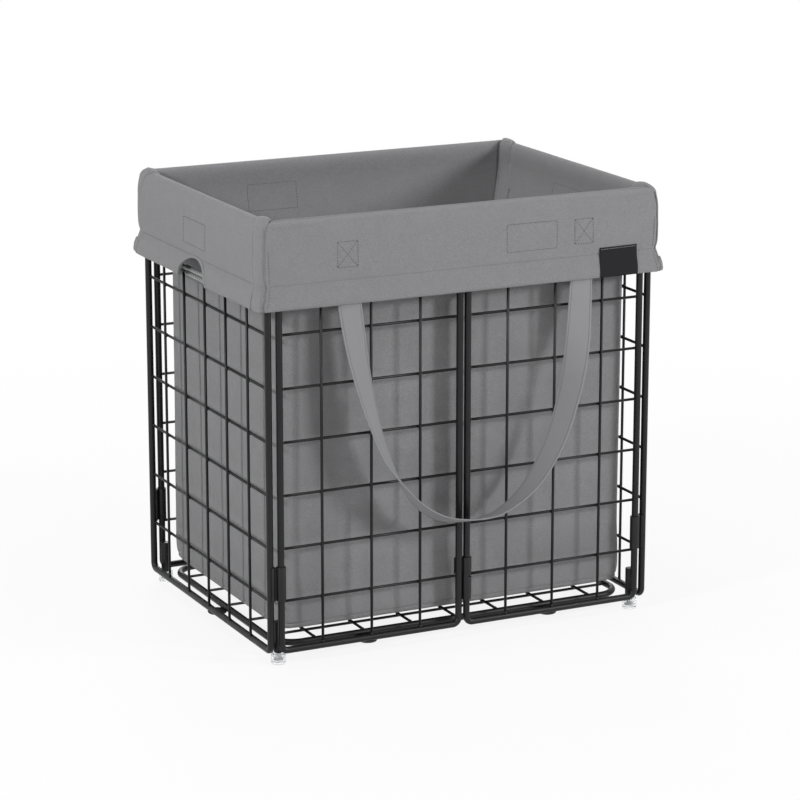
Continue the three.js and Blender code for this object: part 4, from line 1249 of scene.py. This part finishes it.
# Stitches: short threads sunk in the cloth, grey along the hem, dark round patches, pale on the label.
# A run is a straight row of stitches in the flat (u, z) of a side, and a box is (left, right, low, high).
STITCH_LENGTH = 2.6
STITCH_STEP = 3.5
STITCH_R = 0.3
STITCH_ALONG = np.array([0.0, 0.2, 0.5, 0.8, 1.0])
STITCH_SIZES = np.array([0.35, 0.9, 1.0, 0.9, 0.35]) * STITCH_R
STITCH_SIDES = 6
STITCH_STANDS = np.array([-0.15, 0.22, -0.15])
LONG_HEM_END = 252
SHORT_HEM_END = 168
PATCH = (52, 119, 471, 504)
CROSSES = ((-168, -142, 473, 503), (143, 168, 473, 503))
SIDE_PATCH = (-34, 34, 471, 502)
STRIP_SEAMS = (((257.2, 433), (252.2, 455)), ((252.6, 461), (254.0, 498)))
LABEL_SEAM_IN = (1.5, 2)


def thread(name, dark, light):
    """Matt sewing thread whose tone varies along it."""
    material, tree, shader = new_material(name)
    feed(tree, shader, {"Base Color": two_tones(tree, noise(tree, 900), dark, light), "Roughness": 0.8})
    return material


patch_thread = thread("dark_thread", (0.05, 0.05, 0.052), (0.1, 0.1, 0.103))
hem_thread = thread("grey_thread", (0.15, 0.15, 0.154), (0.2, 0.2, 0.205))
label_thread = thread("pale_thread", (0.3, 0.3, 0.305), (0.42, 0.42, 0.43))


def run_of(start, end):
    """Starts, middles and ends of the stitches along a straight run."""
    start, end = np.asarray(start, float), np.asarray(end, float)
    length = np.linalg.norm(end - start)
    count = max(int(round(length / STITCH_STEP)), 1)
    t = (np.arange(count) + 0.5) / count
    way = (end - start) / length * STITCH_LENGTH / 2
    middle = start + (end - start) * t[:, None]
    return np.stack([middle - way, middle, middle + way], axis=1)


def box_of(box, flip=1, crossed=False):
    """Stitches round a box, and along its diagonals if it is crossed; a flip of -1 mirrors it."""
    left, right = sorted((flip * box[0], flip * box[1]))
    corners = [(left, box[2]), (right, box[2]), (right, box[3]), (left, box[3])]
    runs = [run_of(a, b) for a, b in zip(corners, corners[1:] + corners[:1])]
    if crossed:
        runs += [run_of(corners[0], corners[2]), run_of(corners[1], corners[3])]
    return np.concatenate(runs)


def stitches(points):
    """Thread pieces through triples of points: five rings of six, thin and sunk at both ends."""
    start, middle, end = points[:, 0], points[:, 1], points[:, 2]
    out = middle - (start + end) / 2
    t = STITCH_ALONG[None, :, None]
    along = unit(end - start)
    side = unit(np.cross(along, out))
    up = np.cross(side, along)
    a = around(STITCH_SIDES)[None, :, None]
    line = start[:, None, :] + (end - start)[:, None, :] * t + out[:, None, :] * 4 * t * (1 - t)
    ring = np.cos(a) * side[:, None, :] + np.sin(a) * up[:, None, :]
    rings = line[:, :, None, :] + STITCH_SIZES[None, :, None, None] * ring[:, None, :, :]
    faces = tube_faces(len(STITCH_ALONG), STITCH_SIDES)
    return [(piece, faces) for piece in rings]


def sewn(runs, stand, place, sign, face=1):
    """Stitches laid on a side: their ends sink just under the cloth and their middles stand on it.

    The face is 1 outside and -1 on the lining.
    """
    u, z = runs[..., 0], runs[..., 1]
    return stitches(place(u, stand(u, z) + face * STITCH_STANDS, z, sign))


def long_lining(u, z):
    """The lining's stand on a long side."""
    return lining_stand(u, z, LONG_HANG)


def short_lining(u, z):
    """The lining's stand on a short side."""
    return lining_stand(u, z, SHORT_HANG)


for side, sy in LONG_SIDES:
    hem = run_of((-LONG_HEM_END, STITCH_Z), (LONG_HEM_END, STITCH_Z))
    obj = closed_mesh(f"{side}_hem_stitches", sewn(hem, long_stand, to_long, sy), hem_thread)
    on_liner(obj, "long", "fabric")
    patch = box_of(PATCH, -sy)
    crosses = [box_of(cross, -sy, True) for cross in CROSSES]
    seams = [run_of((end * low[0], low[1]), (end * high[0], high[1]))
             for end in (-1, 1) for low, high in STRIP_SEAMS]
    parts = sewn(np.concatenate([patch, *crosses, *seams]), long_stand, to_long, sy)
    parts += sewn(patch, long_lining, to_long, sy, -1)
    on_liner(closed_mesh(f"{side}_patch_stitches", parts, patch_thread), "long", "fabric")
for side, sx in SHORT_SIDES:
    hem = run_of((-SHORT_HEM_END, STITCH_Z), (SHORT_HEM_END, STITCH_Z))
    obj = closed_mesh(f"{side}_hem_stitches", sewn(hem, short_stand, to_short, sx), hem_thread)
    on_liner(obj, side, "fabric")
    patch = box_of(SIDE_PATCH)
    parts = sewn(patch, short_stand, to_short, sx)
    if sx > 0:
        parts += sewn(patch, short_lining, to_short, sx, -1)
    on_liner(closed_mesh(f"{side}_patch_stitches", parts, patch_thread), side, "fabric")
seam_z = LABEL_HIGH - LABEL_SEAM_IN[1]
top_seam = run_of((LABEL_LEFT + LABEL_SEAM_IN[0], seam_z), (LABEL_RIGHT - LABEL_SEAM_IN[0], seam_z))
obj = closed_mesh("label_stitches", sewn(top_seam, label_stand, to_long, -1), label_thread)
on_liner(obj, "long", "label")
